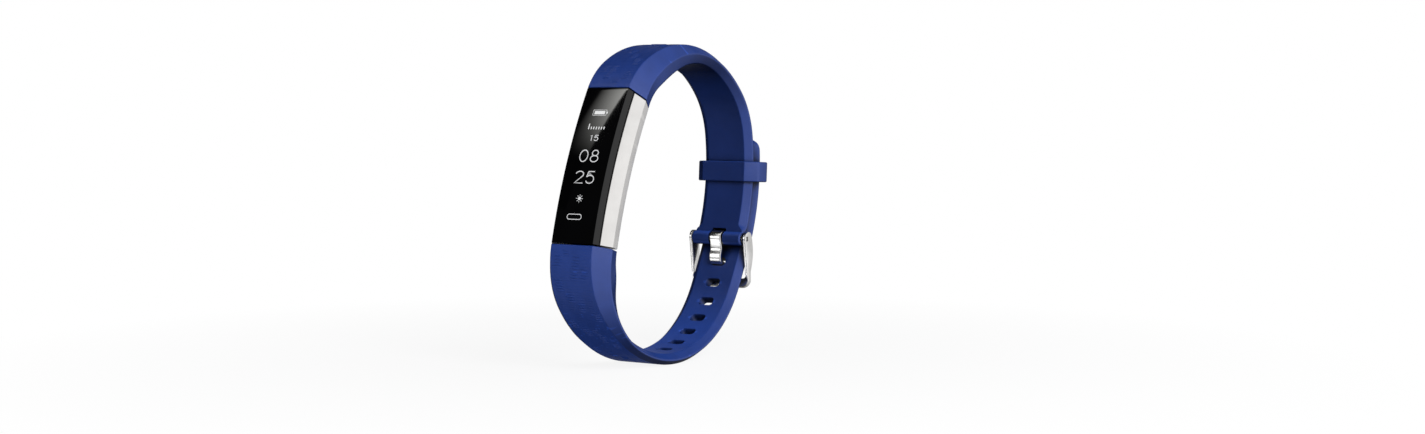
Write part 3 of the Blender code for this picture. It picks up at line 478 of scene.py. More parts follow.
def surface(name, colour, roughness, metallic=0.0, grain=9000, bump=0.02, mottle=250, spread=0.12,
            stretch=(1, 1, 1), edge_highlight_and_wear=1.25, **extra):
    """A Principled material: mottled colour, grain in bump and roughness, edges paler from wear and a painted
    highlight, creases darkened by painted shade.

    grain and mottle are noise scales in features a metre; spread is the share by which the mottle
    changes the colour and the grain the roughness; the argument after stretch is the gain in
    brightness on sharp edges, partly wear and partly a painted highlight.
    """
    material = bpy.data.materials.new(name)
    material.use_nodes = True
    tree = material.node_tree
    shader = tree.nodes["Principled BSDF"]
    tone = ramp(tree, noise(tree, mottle, 4.0), [(0.3, shifted(colour, 1 - spread)),
                                                 (0.7, shifted(colour, 1 + spread))])
    edge = node(tree, "ShaderNodeNewGeometry").outputs["Pointiness"]
    # Paler on sharp convex edges: partly wear, partly a painted highlight.
    highlit_and_worn_edge = ramp(tree, edge, [(0.55, 0.0), (0.63, 1.0)])
    mix = node(tree, "ShaderNodeMix", {"data_type": "RGBA"}, Factor=highlit_and_worn_edge)
    tree.links.new(tone, mix.inputs["A"])
    mix.inputs["B"].default_value = (*shifted(colour, edge_highlight_and_wear), 1.0)
    fine = noise(tree, grain, 3.0, stretch)
    rough = node(tree, "ShaderNodeMapRange", None, Value=fine, To_Min=roughness * (1 - spread),
                 To_Max=roughness * (1 + spread)).outputs[0]
    relief = node(tree, "ShaderNodeBump", None, Height=fine, Strength=1.0, Distance=bump * MM)
    # Painted shade: the colour darkens in concave creases, found from pointiness.
    crease_shade = ramp(tree, edge, [(0.4, 0.55), (0.49, 1.0)])
    shaded = node(tree, "ShaderNodeMix", {"data_type": "RGBA", "blend_type": "MULTIPLY"}, Factor=1.0)
    tree.links.new(mix.outputs["Result"], shaded.inputs["A"])
    tree.links.new(crease_shade, shaded.inputs["B"])
    tree.links.new(shaded.outputs["Result"], shader.inputs["Base Color"])
    tree.links.new(rough, shader.inputs["Roughness"])
    tree.links.new(relief.outputs[0], shader.inputs["Normal"])
    shader.inputs["Metallic"].default_value = metallic
    for key, value in extra.items():
        shader.inputs[key.replace("_", " ")].default_value = value
    MATERIALS[name] = material
    return material


# Shares of light painted into the straps' colour: the wrist side where it stands upright and where
# it looks up, the outer flats, and the side facets that look down.
WRIST_SIDE_LIGHT = 0.55
WRIST_FLOOR_LIGHT = 1.5
OUTER_FLAT_LIGHT = 1.1
LOW_FACET_LIGHT = 0.45


def strap_shading(tree, turned_away_shade):
    """Painted light and shade for the straps' colour: shares of light on the wrist side and on the outside, by the
    way a face looks.
    """
    coordinates = node(tree, "ShaderNodeTexCoord").outputs
    radius = node(tree, "ShaderNodeVectorMath", {"operation": "MULTIPLY"}, i0=coordinates["Object"],
                  i1=(0.0, 1.0, 1.0)).outputs[0]
    outward = node(tree, "ShaderNodeVectorMath", {"operation": "NORMALIZE"}, i0=radius).outputs[0]
    facing_out = node(tree, "ShaderNodeVectorMath", {"operation": "DOT_PRODUCT"}, i0=outward,
                      i1=coordinates["Normal"]).outputs["Value"]
    normal = node(tree, "ShaderNodeSeparateXYZ", None, Vector=coordinates["Normal"]).outputs

    def between(value, low, high, at_low=0.0, at_high=1.0):
        return node(tree, "ShaderNodeMapRange", None, Value=value, From_Min=low, From_Max=high,
                    To_Min=at_low, To_Max=at_high).outputs[0]

    flat = between(math_node(tree, "ABSOLUTE", normal[0]), 0.15, 0.45, 1.0, 0.0)
    inner = between(facing_out, -0.7, -0.4, 1.0, 0.0)
    outer = between(facing_out, 0.4, 0.7)
    upper = between(normal[2], 0.3, 0.85)
    # Painted light: the wrist side is darker, and brighter where it looks up.
    wrist_light = between(normal[2], 0.4, 0.9, WRIST_SIDE_LIGHT, WRIST_FLOOR_LIGHT)
    change = math_node(tree, "SUBTRACT", wrist_light, 1.0)
    masked = math_node(tree, "MULTIPLY", change, math_node(tree, "MULTIPLY", inner, flat))
    wrist_side = math_node(tree, "ADD", masked, 1.0)
    # Painted light on the outer flats and painted shade on the side facets that look down.
    open_flat = math_node(tree, "MAXIMUM", upper, math_node(tree, "MULTIPLY", outer, flat))
    gain = math_node(tree, "MULTIPLY", open_flat, math_node(tree, "SUBTRACT", OUTER_FLAT_LIGHT, turned_away_shade))
    low_facet_shade = math_node(tree, "MAXIMUM", between(normal[2], -0.75, -0.35, LOW_FACET_LIGHT, 1.0), flat)
    outside = math_node(tree, "MULTIPLY", low_facet_shade, math_node(tree, "ADD", turned_away_shade, gain))
    return wrist_side, outside


def make_materials():
    surface("navy_tpu", (0.011, 0.032, 0.165), 0.45, grain=14000, bump=0.004, spread=0.08, edge_highlight_and_wear=1.7)
    tree = MATERIALS["navy_tpu"].node_tree
    facing = node(tree, "ShaderNodeLayerWeight", None, Blend=0.5).outputs["Facing"]
    shine = node(tree, "ShaderNodeMapRange", None, Value=facing, From_Min=0.3, From_Max=0.65,
                 To_Min=0.6, To_Max=0.03).outputs[0]
    # Painted shade: the strap's colour darkens where a face turns away from the view, so its outline gets dark rims.
    turned_away_shade = node(tree, "ShaderNodeMapRange", None, Value=facing, From_Min=0.42, From_Max=0.7,
                  To_Min=1.0, To_Max=0.4).outputs[0]
    # wrist_side and outside are painted light and shade factors for the strap's colour.
    wrist_side, outside = strap_shading(tree, turned_away_shade)
    shader = tree.nodes["Principled BSDF"]
    tree.links.new(math_node(tree, "MULTIPLY", shine, wrist_side), shader.inputs["Specular IOR Level"])
    # Painted shade: ambient occlusion darkens the strap's colour in holes, creases and recesses.
    occlusion_for_shade = node(tree, "ShaderNodeAmbientOcclusion", {"samples": 8}, Distance=3.2 * MM).outputs["AO"]
    recess_shade = ramp(tree, occlusion_for_shade, [(0.33, 0.03), (0.72, 1.0)])
    shade = node(tree, "ShaderNodeMix", {"data_type": "RGBA", "blend_type": "MULTIPLY"}, Factor=1.0)
    tree.links.new(shader.inputs["Base Color"].links[0].from_socket, shade.inputs["A"])
    # Painted shade in recesses, times painted light on the outside and on the wrist side, multiplied into the
    # strap's colour.
    painted_light_and_shade = math_node(tree, "MULTIPLY", recess_shade, outside)
    tree.links.new(math_node(tree, "MULTIPLY", painted_light_and_shade, wrist_side), shade.inputs["B"])
    tree.links.new(shade.outputs["Result"], shader.inputs["Base Color"])
    surface("black_glass", (0.001, 0.001, 0.0012), 0.05, grain=600, bump=0.0, edge_highlight_and_wear=1.0)
    surface("satin_silver", (0.84, 0.825, 0.81), 0.34, 1.0, grain=9000, bump=0.003, spread=0.05,
            stretch=(1, 0.05, 0.05), edge_highlight_and_wear=1.15)
    surface("polished_steel", (0.9, 0.89, 0.88), 0.26, 1.0, grain=1800, bump=0.001, spread=0.1,
            edge_highlight_and_wear=1.1)
    surface("black_plastic", (0.012, 0.012, 0.013), 0.42, grain=12000, bump=0.006)
    surface("black_rubber", (0.01, 0.01, 0.01), 0.75, grain=5000, bump=0.01)
    surface("dark_window", (0.02, 0.004, 0.006), 0.08, grain=500, bump=0.0, Coat_Weight=0.5)
    surface("green_board", (0.01, 0.12, 0.04), 0.45, grain=2500, bump=0.01, mottle=900, spread=0.3)
    surface("chip_black", (0.02, 0.02, 0.022), 0.4, grain=15000, bump=0.006)
    surface("gold", (0.85, 0.55, 0.18), 0.22, 1.0, grain=6000, bump=0.003, spread=0.08)
    surface("led_green", (0.05, 0.8, 0.15), 0.25, grain=3000, bump=0.002)
    surface("battery_foil", (0.6, 0.6, 0.62), 0.35, 0.8, grain=1500, bump=0.02, spread=0.08)
    surface("red_wire", (0.6, 0.02, 0.02), 0.45, grain=8000, bump=0.004)
    surface("black_wire", (0.01, 0.01, 0.01), 0.45, grain=8000, bump=0.004)
    surface("amber_flex", (0.55, 0.22, 0.03), 0.35, grain=4000, bump=0.003, spread=0.15)
    surface("grey_foam", (0.1, 0.1, 0.11), 0.95, grain=4000, bump=0.05, spread=0.25)
    surface("motor_steel", (0.6, 0.6, 0.6), 0.22, 1.0, grain=5000, bump=0.004, spread=0.15)
    surface("oled_panel", (0.01, 0.012, 0.02), 0.12, grain=20000, bump=0.001)
    display_light("display_light")


def display_light(name):
    """Lit display pixels seen through the lens: a soft grey glow under a gloss coat."""
    material = surface(name, (0.3, 0.3, 0.3), 0.06, grain=600, bump=0.0, edge_highlight_and_wear=1.0, Coat_Weight=0.3)
    tree = material.node_tree
    shader = tree.nodes["Principled BSDF"]
    dots = noise(tree, 5000, 1.0)
    glow = node(tree, "ShaderNodeMapRange", None, Value=dots, To_Min=0.3, To_Max=0.45).outputs[0]
    shader.inputs["Emission Color"].default_value = (0.95, 0.97, 1.0, 1.0)
    tree.links.new(glow, shader.inputs["Emission Strength"])


def dress(obj, slot_name, body, *nodes):
    """Give a piece its material and slot, and let it ride on a body in place of CAD nodes."""
    obj.data.materials.clear()
    obj.data.materials.append(MATERIALS[slot_name])
    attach(obj, body)
    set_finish(obj, slot_name)
    if nodes:
        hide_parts(*nodes)


# ---------------------------------------------------------------- straps

TOP_COLUMNS = 44
FACET_SHARES = (0.06, 0.5, 0.94)
INNER_SHARES = (0.03, 0.2, 0.4, 0.6, 0.8, 0.97)


def weave(x, along):
    """Height from 0 to 1 of the moulded pattern: fine dashes, raised most in diagonal runs of blocks."""
    row = along / WEAVE_ROW
    block = math.floor(row / WEAVE_BLOCK)
    ridge = max(0.0, math.cos(math.tau * row)) ** 1.5
    column = x / WEAVE_DASH + 0.13 * math.sin(2.3 * block) + 0.09 * math.sin(5.1 * math.floor(row))
    cell = math.floor(column)
    within = column - cell
    dash = ease(within / 0.3) * ease((1 - within) / 0.3)
    strong = (cell + block) % 4 == 0 or math.sin(12.9 * cell + 7.3 * block) > 0.93
    return ridge * dash * (1.0 if strong else 0.3)


def strap_corners(length, taper):
    """Half widths and depths of the six-sided section at a distance from the tracker."""
    start, end = taper
    thin = ease((length - start) / (end - start))
    shallow = ease(length / end)
    narrow = ease(length / WIDTH_TAPER)

    def blend(key, t):
        return (THICK_END[key] * (1 - t) + THIN_END[key] * t) * MM

    return {"flat": blend("flat", narrow), "wide": blend("wide", narrow), "inner": blend("inner", thin),
            "wide_depth": blend("wide_depth", shallow), "depth": blend("depth", thin), "top": 0.0}


def strap_ring(place, size, height):
    """Points (x, depth) of a filleted section; height(x) raises the outer flat."""
    top, depth = size["top"], size["depth"]
    half = [(size["flat"], top, 0.22 * MM), (size["wide"], top + size["wide_depth"], 0.3 * MM),
            (size["inner"], depth, 0.45 * MM)]
    corners = half + [(-x, d, r) for x, d, r in reversed(half)]
    arcs = []
    for i, (x, d, radius) in enumerate(corners):
        before, after = corners[i - 1], corners[(i + 1) % len(corners)]
        arcs.append(round_corner(before[:2], (x, d), after[:2], radius, 4))
    right, left = arcs[0][0][0], arcs[-1][-1][0]
    points = []
    for i in range(1, TOP_COLUMNS):
        x = left + (right - left) * i / TOP_COLUMNS
        points.append((x, top - height(x)))
    for i, arc in enumerate(arcs):
        points += [tuple(p) for p in arc]
        if i < 5:
            shares = INNER_SHARES if i == 2 else FACET_SHARES
            points += [tuple(arc[-1].lerp(arcs[i + 1][0], t)) for t in shares]
    return points


def relief(place, start, end):
    """Weave height along one station, fading out at both ends of its run and at the flat's edges."""
    share = ease((place - start) / (0.8 * MM)) * ease((end - place) / (9 * MM))

    def height(x):
        side = ease((4.75 * MM - abs(x)) / (0.3 * MM))
        return WEAVE_HEIGHT * share * side * weave(x, place) if share > 0 else 0.0

    return height


def loft_strap(name, outline, stations):
    """Skin a strap from (place, size, height, amount drawn in) stations."""
    bm = bmesh.new()
    rings = []
    for place, size, height, amount in stations:
        points = strap_ring(place, size, height)
        if amount:
            points = drawn_in(points, amount)
        frame_here = outline.frame(place)
        lean = max(0.0, 1 - place / LEAN_FADE) if outline is UPPER else 0.0
        rings.append([frame_here @ Vector((x, lean * end_lean(depth), -depth)) for x, depth in points])
    skin(bm, rings)
    return solid(name, bm)


def run_of_stations(outline, end, taper, fade_end):
    """Stations from the tracker's end to a place, close together where the pattern lies."""
    stations = [(place, strap_corners(place, taper), relief(place, WEAVE_START, fade_end), amount)
                for place, amount in end_rounding(0.0, 0.18 * MM)]
    place = 0.3 * MM
    while place < end:
        stations.append((place, strap_corners(place, taper), relief(place, WEAVE_START, fade_end), 0.0))
        place += WEAVE_STEP if place < fade_end else STRAP_STEP
    return stations


PLUG_LENGTH = {"upper": 6.5 * MM, "lower": 8.0 * MM}
PLUG_HALF_WIDTH = {"upper": 4.4 * MM, "lower": 5.6 * MM}
PLUG_TOP = 3.2 * MM
PLUG_BOTTOM = 5.2 * MM
SOCKET_GAP = 0.3 * MM
POCKET_GAP = 0.1 * MM


def add_socket(bm, side, outline):
    """The pocket in a strap's end that takes the tracker's plug."""
    half = PLUG_HALF_WIDTH[side] + POCKET_GAP
    low = (-half, -MM, -PLUG_BOTTOM - POCKET_GAP)
    high = (half, PLUG_LENGTH[side] + POCKET_GAP, -PLUG_TOP + POCKET_GAP)
    add_box(bm, low, high, outline.frame(-END_GAP))


def make_upper_strap():
    """The buckle strap: tapers, flares into the moulded loop round the spring bar, and wraps over it."""
    end = UPPER.length
    stations = run_of_stations(UPPER, end, UPPER_TAPER, 44 * MM)
    shaped = []
    for place, size, height, amount in stations:
        flare = ease((place - (end - 3.4 * MM)) / (1.9 * MM))
        size["inner"] += (6.2 * MM - size["inner"]) * flare
        size["wide"] += (LOOP_HALF_WIDTH - size["wide"]) * flare
        size["wide_depth"] += 0.35 * MM * flare
        shaped.append((place, size, height, amount))
    last = shaped[-1][1]
    for degrees in (0, 12, 24, 36, 48, 60, 70, 78):
        angle = math.radians(degrees)
        size = dict(last)
        reach = LOOP_RADIUS + (BAR_DEPTH - LOOP_RADIUS) * math.cos(angle) ** 2
        size["top"] = BAR_DEPTH - reach * math.cos(angle)
        size["depth"] = BAR_DEPTH + 0.55 * MM * math.cos(angle)
        size["wide_depth"] = last["wide_depth"] * (size["depth"] - size["top"]) / last["depth"]
        shaped.append((end + LOOP_RADIUS * math.sin(angle) * 0.98 + 0.01 * MM, size, lambda x: 0.0, 0.0))
    strap = loft_strap("upper_strap_moulding", UPPER, shaped)
    loop = bmesh.new()
    add_round_bar(loop, BAR_CENTRE, (1, 0, 0), LOOP_HALF_WIDTH, LOOP_RADIUS, 0.3 * MM)
    carve(strap, loop, "UNION")
    cuts = bmesh.new()
    notch_place = UPPER.frame(end - NOTCH_REACH + 4 * MM)
    add_slot(cuts, notch_place, NOTCH_HALF_WIDTH, 4 * MM, 0.35 * MM, 4.6 * MM, 0.12 * MM)
    carve(strap, cuts)
    bores = bmesh.new()
    add_round_bar(bores, BAR_CENTRE, (1, 0, 0), LOOP_HALF_WIDTH + MM, LOOP_BORE)
    add_socket(bores, "upper", UPPER)
    carve(strap, bores)
    dress(strap, "navy_tpu", "band", "upper_strap")


def make_lower_strap():
    """The strap with the adjustment holes and a rounded tail."""
    tip_start = LOWER.length - TIP_LENGTH
    stations = run_of_stations(LOWER, tip_start, LOWER_TAPER, 38 * MM)
    steps = 28
    for i in range(1, steps + 1):
        turn = math.pi / 2 * i / steps
        t = math.sin(turn)
        place = tip_start + TIP_LENGTH * t
        size = strap_corners(place, LOWER_TAPER)
        shrink = max(0.05, (1 - t ** 3) ** (1 / 3))
        thin = 0.45 * MM * (1 - math.sqrt(max(0.0, 1 - ease((t - 0.86) / 0.14) ** 2)))
        for key in ("flat", "wide", "inner"):
            size[key] *= shrink
        size["top"] += thin
        size["depth"] -= thin
        stations.append((place, size, lambda x: 0.0, 0.0))
    strap = loft_strap("lower_strap_moulding", LOWER, stations)
    cuts = bmesh.new()
    for number in range(-HOLES_BELOW, HOLES_ABOVE + 1):
        place = LOWER.frame(ENGAGED + number * HOLE_PITCH)
        add_slot(cuts, place, HOLE_WIDTH / 2, HOLE_LENGTH / 2 - 0.1 * MM, 0.8 * MM, THIN_END["depth"] * MM, 0.1 * MM)
    add_socket(cuts, "lower", LOWER)
    carve(strap, cuts)
    dress(strap, "navy_tpu", "band", "lower_strap")


# ---------------------------------------------------------------- keeper and buckle

def bar_ring(outer, inner, half_height, radius, to_world):
    """A rounded rectangle between an outer and an inner point of a flat outline, either side of it."""
    outer, inner = Vector(outer), Vector(inner)
    across = outer - inner
    width, h = across.length, half_height
    across.normalize()
    r = min(radius, 0.48 * width, 0.95 * h)
    outline = rounded([(0.0, -h, r), (width, -h, r), (width, h, r), (0.0, h, r)], 4)
    ring = []
    for a, w in outline:
        point = inner + across * a
        ring.append(to_world(point.x, point.y, w))
    return ring


def make_keeper():
    """A flat band round both straps, with its corners rounded and its edges softened."""
    arc_length = UPPER_ARCS[-1][0] * MM * math.radians(UPPER_ARCS[-1][1])
    place = UPPER.frame(UPPER.length - arc_length + KEEPER_START)
    outside = mirrored([(5.75, -3.85, 1.0), (7.9, -2.1, 1.0), (7.9, 1.45, 0.9), (5.4, 3.5, 0.45)])
    inside = mirrored([(5.25, -2.95, 0.5), (7.05, -1.55, 0.5), (7.05, 1.15, 0.4), (4.9, 2.65, 0.3)])
    outer, inner = rounded(outside, 7), rounded(inside, 7)

    def to_world(x, depth, along):
        return place @ Vector((x, along, -depth))

    bm = bmesh.new()
    skin(bm, [bar_ring(o, i, KEEPER_LENGTH / 2, 0.3 * MM, to_world) for o, i in zip(outer, inner)], True)
    keeper = solid("keeper_moulding", bm, 50)
    dress(keeper, "navy_tpu", "keeper", "keeper_loop")


def make_buckle_frame():
    """A U of polished bar: round ears on the spring bar's pins, deep arms and a flat-lying crossbar."""
    seat = CROSSBAR_CLEARANCE + CROSSBAR_DEPTH / 2
    crossbar = crossbar_frame() @ Vector((0, 0, seat)) - BAR_CENTRE
    down = crossbar.normalized()
    turn = Matrix((Vector((1, 0, 0)), down, Vector((1, 0, 0)).cross(down))).transposed()
    outward = turn.inverted() @ crossbar_frame().to_3x3() @ Vector((0, 0, 1))
    tilt = math.atan2(-outward.y, outward.z)
    seat_line = Vector((0, crossbar.length, 0))
    reach = crossbar.length + CROSSBAR_WIDTH / 2
    inner_x = FRAME_HALF_WIDTH - FRAME_ARM
    half = CROSSBAR_DEPTH / 2
    stations = []
    for i in range(1, 13):
        angle = math.pi / 2 * i / 12
        v = -FRAME_EAR * math.cos(angle)
        stations.append(((FRAME_HALF_WIDTH, v), (inner_x, v), EAR_SHIFT, FRAME_EAR * math.sin(angle), 0.0))
    inside = FRAME_CORNER - FRAME_ARM
    arm_end = reach - CROSSBAR_WIDTH - inside
    for i in range(1, 21):
        share = i / 21
        v = arm_end * share
        swell = 0.35 * MM * math.sin(math.pi * share)
        deep = FRAME_EAR * (1 - share) + half * share + swell
        stations.append(((FRAME_HALF_WIDTH, v), (inner_x, v), EAR_SHIFT * (1 - share) + swell, deep, 0.0))
    centre_x = FRAME_HALF_WIDTH - FRAME_CORNER
    for i in range(13):
        angle = math.pi / 2 * i / 12
        c, s = math.cos(angle), math.sin(angle)
        outer = (centre_x + FRAME_CORNER * c, reach - FRAME_CORNER + FRAME_CORNER * s)
        inner = (inner_x - inside + inside * c, arm_end + inside * s)
        stations.append((outer, inner, 0.0, half, i / 12))
    stations.append(((0.0, reach), (0.0, reach - CROSSBAR_WIDTH), 0.0, half, 1.0))
    stations += [((-o[0], o[1]), (-i[0], i[1]), *rest) for o, i, *rest in reversed(stations[:-1])]

    def placing(middle, roll):
        rolled = Matrix.Rotation(tilt * roll, 3, "X")

        def to_world(x, along, out):
            point = rolled @ (Vector((x, along, out + middle)) - seat_line) + seat_line
            return BAR_CENTRE + turn @ point

        return to_world

    bm = bmesh.new()
    skin(bm, [bar_ring(o, i, deep, 0.2 * MM, placing(middle, roll)) for o, i, middle, deep, roll in stations])
    buckle = solid("buckle_frame_steel", bm)
    holes = bmesh.new()
    add_round_bar(holes, BAR_CENTRE, (1, 0, 0), FRAME_HALF_WIDTH + MM, PIN_HOLE, sides=32)
    carve(buckle, holes)
    dress(buckle, "polished_steel", "buckle_frame", "buckle_frame")


def smooth_path(points, step):
    """Points along a smooth curve through the given points, about a step apart."""
    path = []
    for i in range(len(points) - 1):
        a = points[max(0, i - 1)]
        b, c = points[i], points[i + 1]
        d = points[min(len(points) - 1, i + 2)]
        count = max(1, round((c - b).length / step))
        for k in range(count):
            t = k / count
            path.append(0.5 * ((2 * b) + (c - a) * t + (2 * a - 5 * b + 4 * c - d) * t * t
                               + (3 * b - a - 3 * c + d) * t ** 3))
    path.append(points[-1])
    return path


def make_tongue():
    """A bent strip: from its knuckle down the wrist side, out through the hole, onto the crossbar."""
    hole = LOWER.frame(ENGAGED)
    bar = crossbar_frame()
    seat = CROSSBAR_CLEARANCE + CROSSBAR_DEPTH + CROSSBAR_CLEARANCE + TONGUE_THICKNESS / 2
    wrist_side = THIN_END["depth"] * MM + 1.35 * MM
    start = UPPER.outward(UPPER.at(UPPER.length)[1]) * -1.42 * MM
    middle = [
        hole @ Vector((0, 2.35 * MM, -wrist_side - 0.5 * MM)),
        hole @ Vector((0, 0.75 * MM, -wrist_side - 0.2 * MM)),
        hole @ Vector((0, -0.2 * MM, -wrist_side + 0.5 * MM)),
        hole @ Vector((0, -0.35 * MM, -1.2 * MM)),
        hole @ Vector((0, -0.35 * MM, 1.6 * MM)),
        hole @ Vector((0, -0.6 * MM, 2.5 * MM)),
        bar @ Vector((0, 1.7 * MM, seat + 0.1 * MM)),
        bar @ Vector((0, -1.0 * MM, seat)),
    ]
    path = smooth_path([BAR_CENTRE + start] + middle, 0.2 * MM)
    rings = []
    last = len(path) - 1
    half, thick = TONGUE_HALF_WIDTH, TONGUE_THICKNESS / 2
    for i, point in enumerate(path):
        along = (path[min(last, i + 1)] - path[max(0, i - 1)]).normalized()
        side = Vector((1, 0, 0)).cross(along)
        left = (last - i) * 0.2 * MM
        taper = math.sqrt(max(0.04, 1 - max(0.0, 1 - left / (1.3 * MM)) ** 2))
        w, h = half * taper, thick * max(0.55, min(1.0, taper + 0.3))
        r = min(0.28 * MM, 0.9 * h)
        outline = rounded([(-w, -h, r), (w, -h, r), (w, h, r), (-w, h, r)], 4)
        rings.append([point + Vector((1, 0, 0)) * u + side * v for u, v in outline])
    bm = bmesh.new()
    skin(bm, rings)
    tongue = solid("buckle_tongue_steel", bm)
    knuckle = bmesh.new()
    add_round_bar(knuckle, BAR_CENTRE, (1, 0, 0), KNUCKLE_HALF_WIDTH, KNUCKLE_OUTER, 0.2 * MM)
    carve(tongue, knuckle, "UNION")
    bore = bmesh.new()
    add_round_bar(bore, BAR_CENTRE, (1, 0, 0), TONGUE_HALF_WIDTH * 2, KNUCKLE_BORE, sides=48)
    carve(tongue, bore)
    dress(tongue, "polished_steel", "buckle_tongue", "buckle_tongue")


# ---------------------------------------------------------------- tracker

HALF_ARC = TRACKER_HALF_SWEEP * TRACKER_RADIUS


def on_tracker(x, along, depth):
    """World point at a distance along the tracker's arc from its middle, below its outer surface."""
    angle = along / TRACKER_RADIUS
    reach = TRACKER_RADIUS - depth
    return TRACKER @ Vector((x, reach * math.sin(angle), reach * math.cos(angle) - TRACKER_RADIUS))


def tracker_stations(half_length, radius, steps=80):
    """(distance, amount drawn in) pairs from end to end, with rounded end edges."""
    start = end_rounding(-half_length, radius)
    inner = half_length - radius
    middle = [(-inner + 2 * inner * i / steps, 0.0) for i in range(1, steps)]
    return start + middle + [(-along, amount) for along, amount in reversed(start)]


def leaning(along, depth):
    """A distance along the tracker, stretched towards its upper end so that its end face leans."""
    return along * (1 + end_lean(depth) / HALF_ARC) if along > 0 else along


def add_tracker_arc(bm, outline, half_length, radius=0.0, steps=80):
    """A section run along the tracker's arc; the outline is a list of (x, depth).

    With a radius its end edges are rounded and its upper end leans with the joint.
    """
    if radius:
        stations = tracker_stations(half_length, radius, steps)
    else:
        stations = [(half_length * (2 * i / steps - 1), 0.0) for i in range(steps + 1)]
    rings = []
    for along, amount in stations:
        points = drawn_in(outline, amount) if amount else outline
        rings.append([on_tracker(x, leaning(along, depth) if radius else along, depth) for x, depth in points])
    skin(bm, rings)


def slab_outline(half_width, top, bottom):
    return [(half_width * MM, top * MM), (half_width * MM, bottom * MM),
            (-half_width * MM, bottom * MM), (-half_width * MM, top * MM)]


def make_lens():
    outline = rounded(mirrored([(5.15, 0.0, 0.1), (5.97, 1.1, 0.08)]), 5)
    bm = bmesh.new()
    add_tracker_arc(bm, outline, HALF_ARC, 0.08 * MM, 96)
    lens = solid("display_lens_glass", bm, 40)
    dress(lens, "black_glass", "band", "display_lens")


SCREW_X = 4.0 * MM
SCREW_Y = 11.9 * MM


def screw_places():
    return [(sx * SCREW_X, sy * SCREW_Y) for sx, sy in ((1, 1), (-1, 1), (1, -1), (-1, -1))]


def make_housing():
    """The silver shell: six-sided outside, hollow inside, with screw posts and plug windows."""
    outline = rounded(mirrored([(6.09, 1.25, 0.08), (7.7, 3.4, 0.16), (7.2, 5.7, 0.25)]), 5)
    bm = bmesh.new()
    add_tracker_arc(bm, outline, HALF_ARC, 0.12 * MM, 96)
    shell = solid("tracker_housing_shell", bm)
    hollow = bmesh.new()
    add_tracker_arc(hollow, slab_outline(5.9, 2.4, 6.5), HALF_ARC - 1.5 * MM, steps=31)
    carve(shell, hollow)
    for size, half_length, steps in ((slab_outline(4.85, 0.5, 2.9), 14.4 * MM, 29),
                                     (slab_outline(5.6, 0.5, 1.75), 15.45 * MM, 33)):
        opening = bmesh.new()
        add_tracker_arc(opening, size, half_length, steps=steps)
        carve(shell, opening)
    for x, y in screw_places():
        side = math.copysign(1.0, x)
        web = bmesh.new()
        web_x = sorted((x, side * 6.3 * MM))
        add_box(web, (web_x[0], y - 0.6 * MM, -5.6 * MM), (web_x[1], y + 0.6 * MM, -3.8 * MM), TRACKER)
        carve(shell, web, "UNION")
        post = bmesh.new()
        axis = TRACKER.to_3x3() @ Vector((0, 0, 1))
        add_round_bar(post, TRACKER @ Vector((x, y, -4.675 * MM)), axis, 1.075 * MM, 1.2 * MM, sides=32)
        carve(shell, post, "UNION")
    cuts = bmesh.new()
    for x, y in screw_places():
        add_round_bar(cuts, TRACKER @ Vector((x, y, -5 * MM)), axis, 2 * MM, 0.65 * MM, sides=24)
    for outline_here in (UPPER, LOWER):
        half = 2.6 * MM + SOCKET_GAP
        add_box(cuts, (-half, -3 * MM, -PLUG_BOTTOM - SOCKET_GAP), (half, MM, -PLUG_TOP + SOCKET_GAP),
                outline_here.frame(-END_GAP))
    carve(shell, cuts)
    dress(shell, "satin_silver", "band", "tracker_housing")


def make_rear_cover():
    """The black back: a shallow tray with sloped ends, a window hole and four sunk screw holes."""
    half_length = 15.2 * MM
    steps = 110
    rings = []
    for i in range(steps + 1):
        along = half_length * (2 * i / steps - 1)
        slope = 7.0 * MM + (14.8 * MM - abs(along)) * 1.327
        gap = (slope - 8.0 * MM) / (0.35 * MM)
        bottom = 8.0 * MM - 0.35 * MM * math.log1p(math.exp(-gap)) if gap > -20 else slope
        inner = 7.0 * MM - (bottom - 5.85 * MM) * 0.79
        half = [(7.0 * MM, 5.85 * MM, 0.12 * MM), (inner, bottom, 0.5 * MM)]
        outline = rounded(half + [(-x, d, r) for x, d, r in reversed(half)], 5)
        rings.append([on_tracker(x, along, depth) for x, depth in outline])
    bm = bmesh.new()
    skin(bm, rings)
    cover = solid("rear_cover_moulding", bm)
    hollow = bmesh.new()
    add_tracker_arc(hollow, slab_outline(5.0, 5.0, 7.2), 10.8 * MM, steps=23)
    carve(cover, hollow)
    axis = TRACKER.to_3x3() @ Vector((0, 0, 1))
    cuts = bmesh.new()
    add_round_bar(cuts, TRACKER @ Vector((0, 0, -8.5 * MM)), axis, 1.5 * MM, 3.4 * MM)
    for x, y in screw_places():
        drop = math.sqrt(TRACKER_RADIUS ** 2 - y ** 2) - TRACKER_RADIUS
        add_round_bar(cuts, TRACKER @ Vector((x, y, -7 * MM)), axis, 3 * MM, 0.65 * MM, sides=32)
        sink_top = drop - 7.45 * MM
        sink = TRACKER @ Vector((x, y, (sink_top - 10 * MM) / 2))
        add_round_bar(cuts, sink, axis, (sink_top + 10 * MM) / 2, 1.05 * MM, sides=40)
    carve(cover, cuts)
    dress(cover, "black_plastic", "band", "rear_cover")


# ---------------------------------------------------------------- display

def lay_on_lens(obj, centre_y):
    """Bend a flat mesh drawn in mm (x across, y up, z out) onto the lens's outer surface."""
    for vertex in obj.data.vertices:
        x, y, z = vertex.co
        vertex.co = on_tracker(x * MM, (y + centre_y) * MM, -(z + 0.006) * MM)
    obj.data.update()


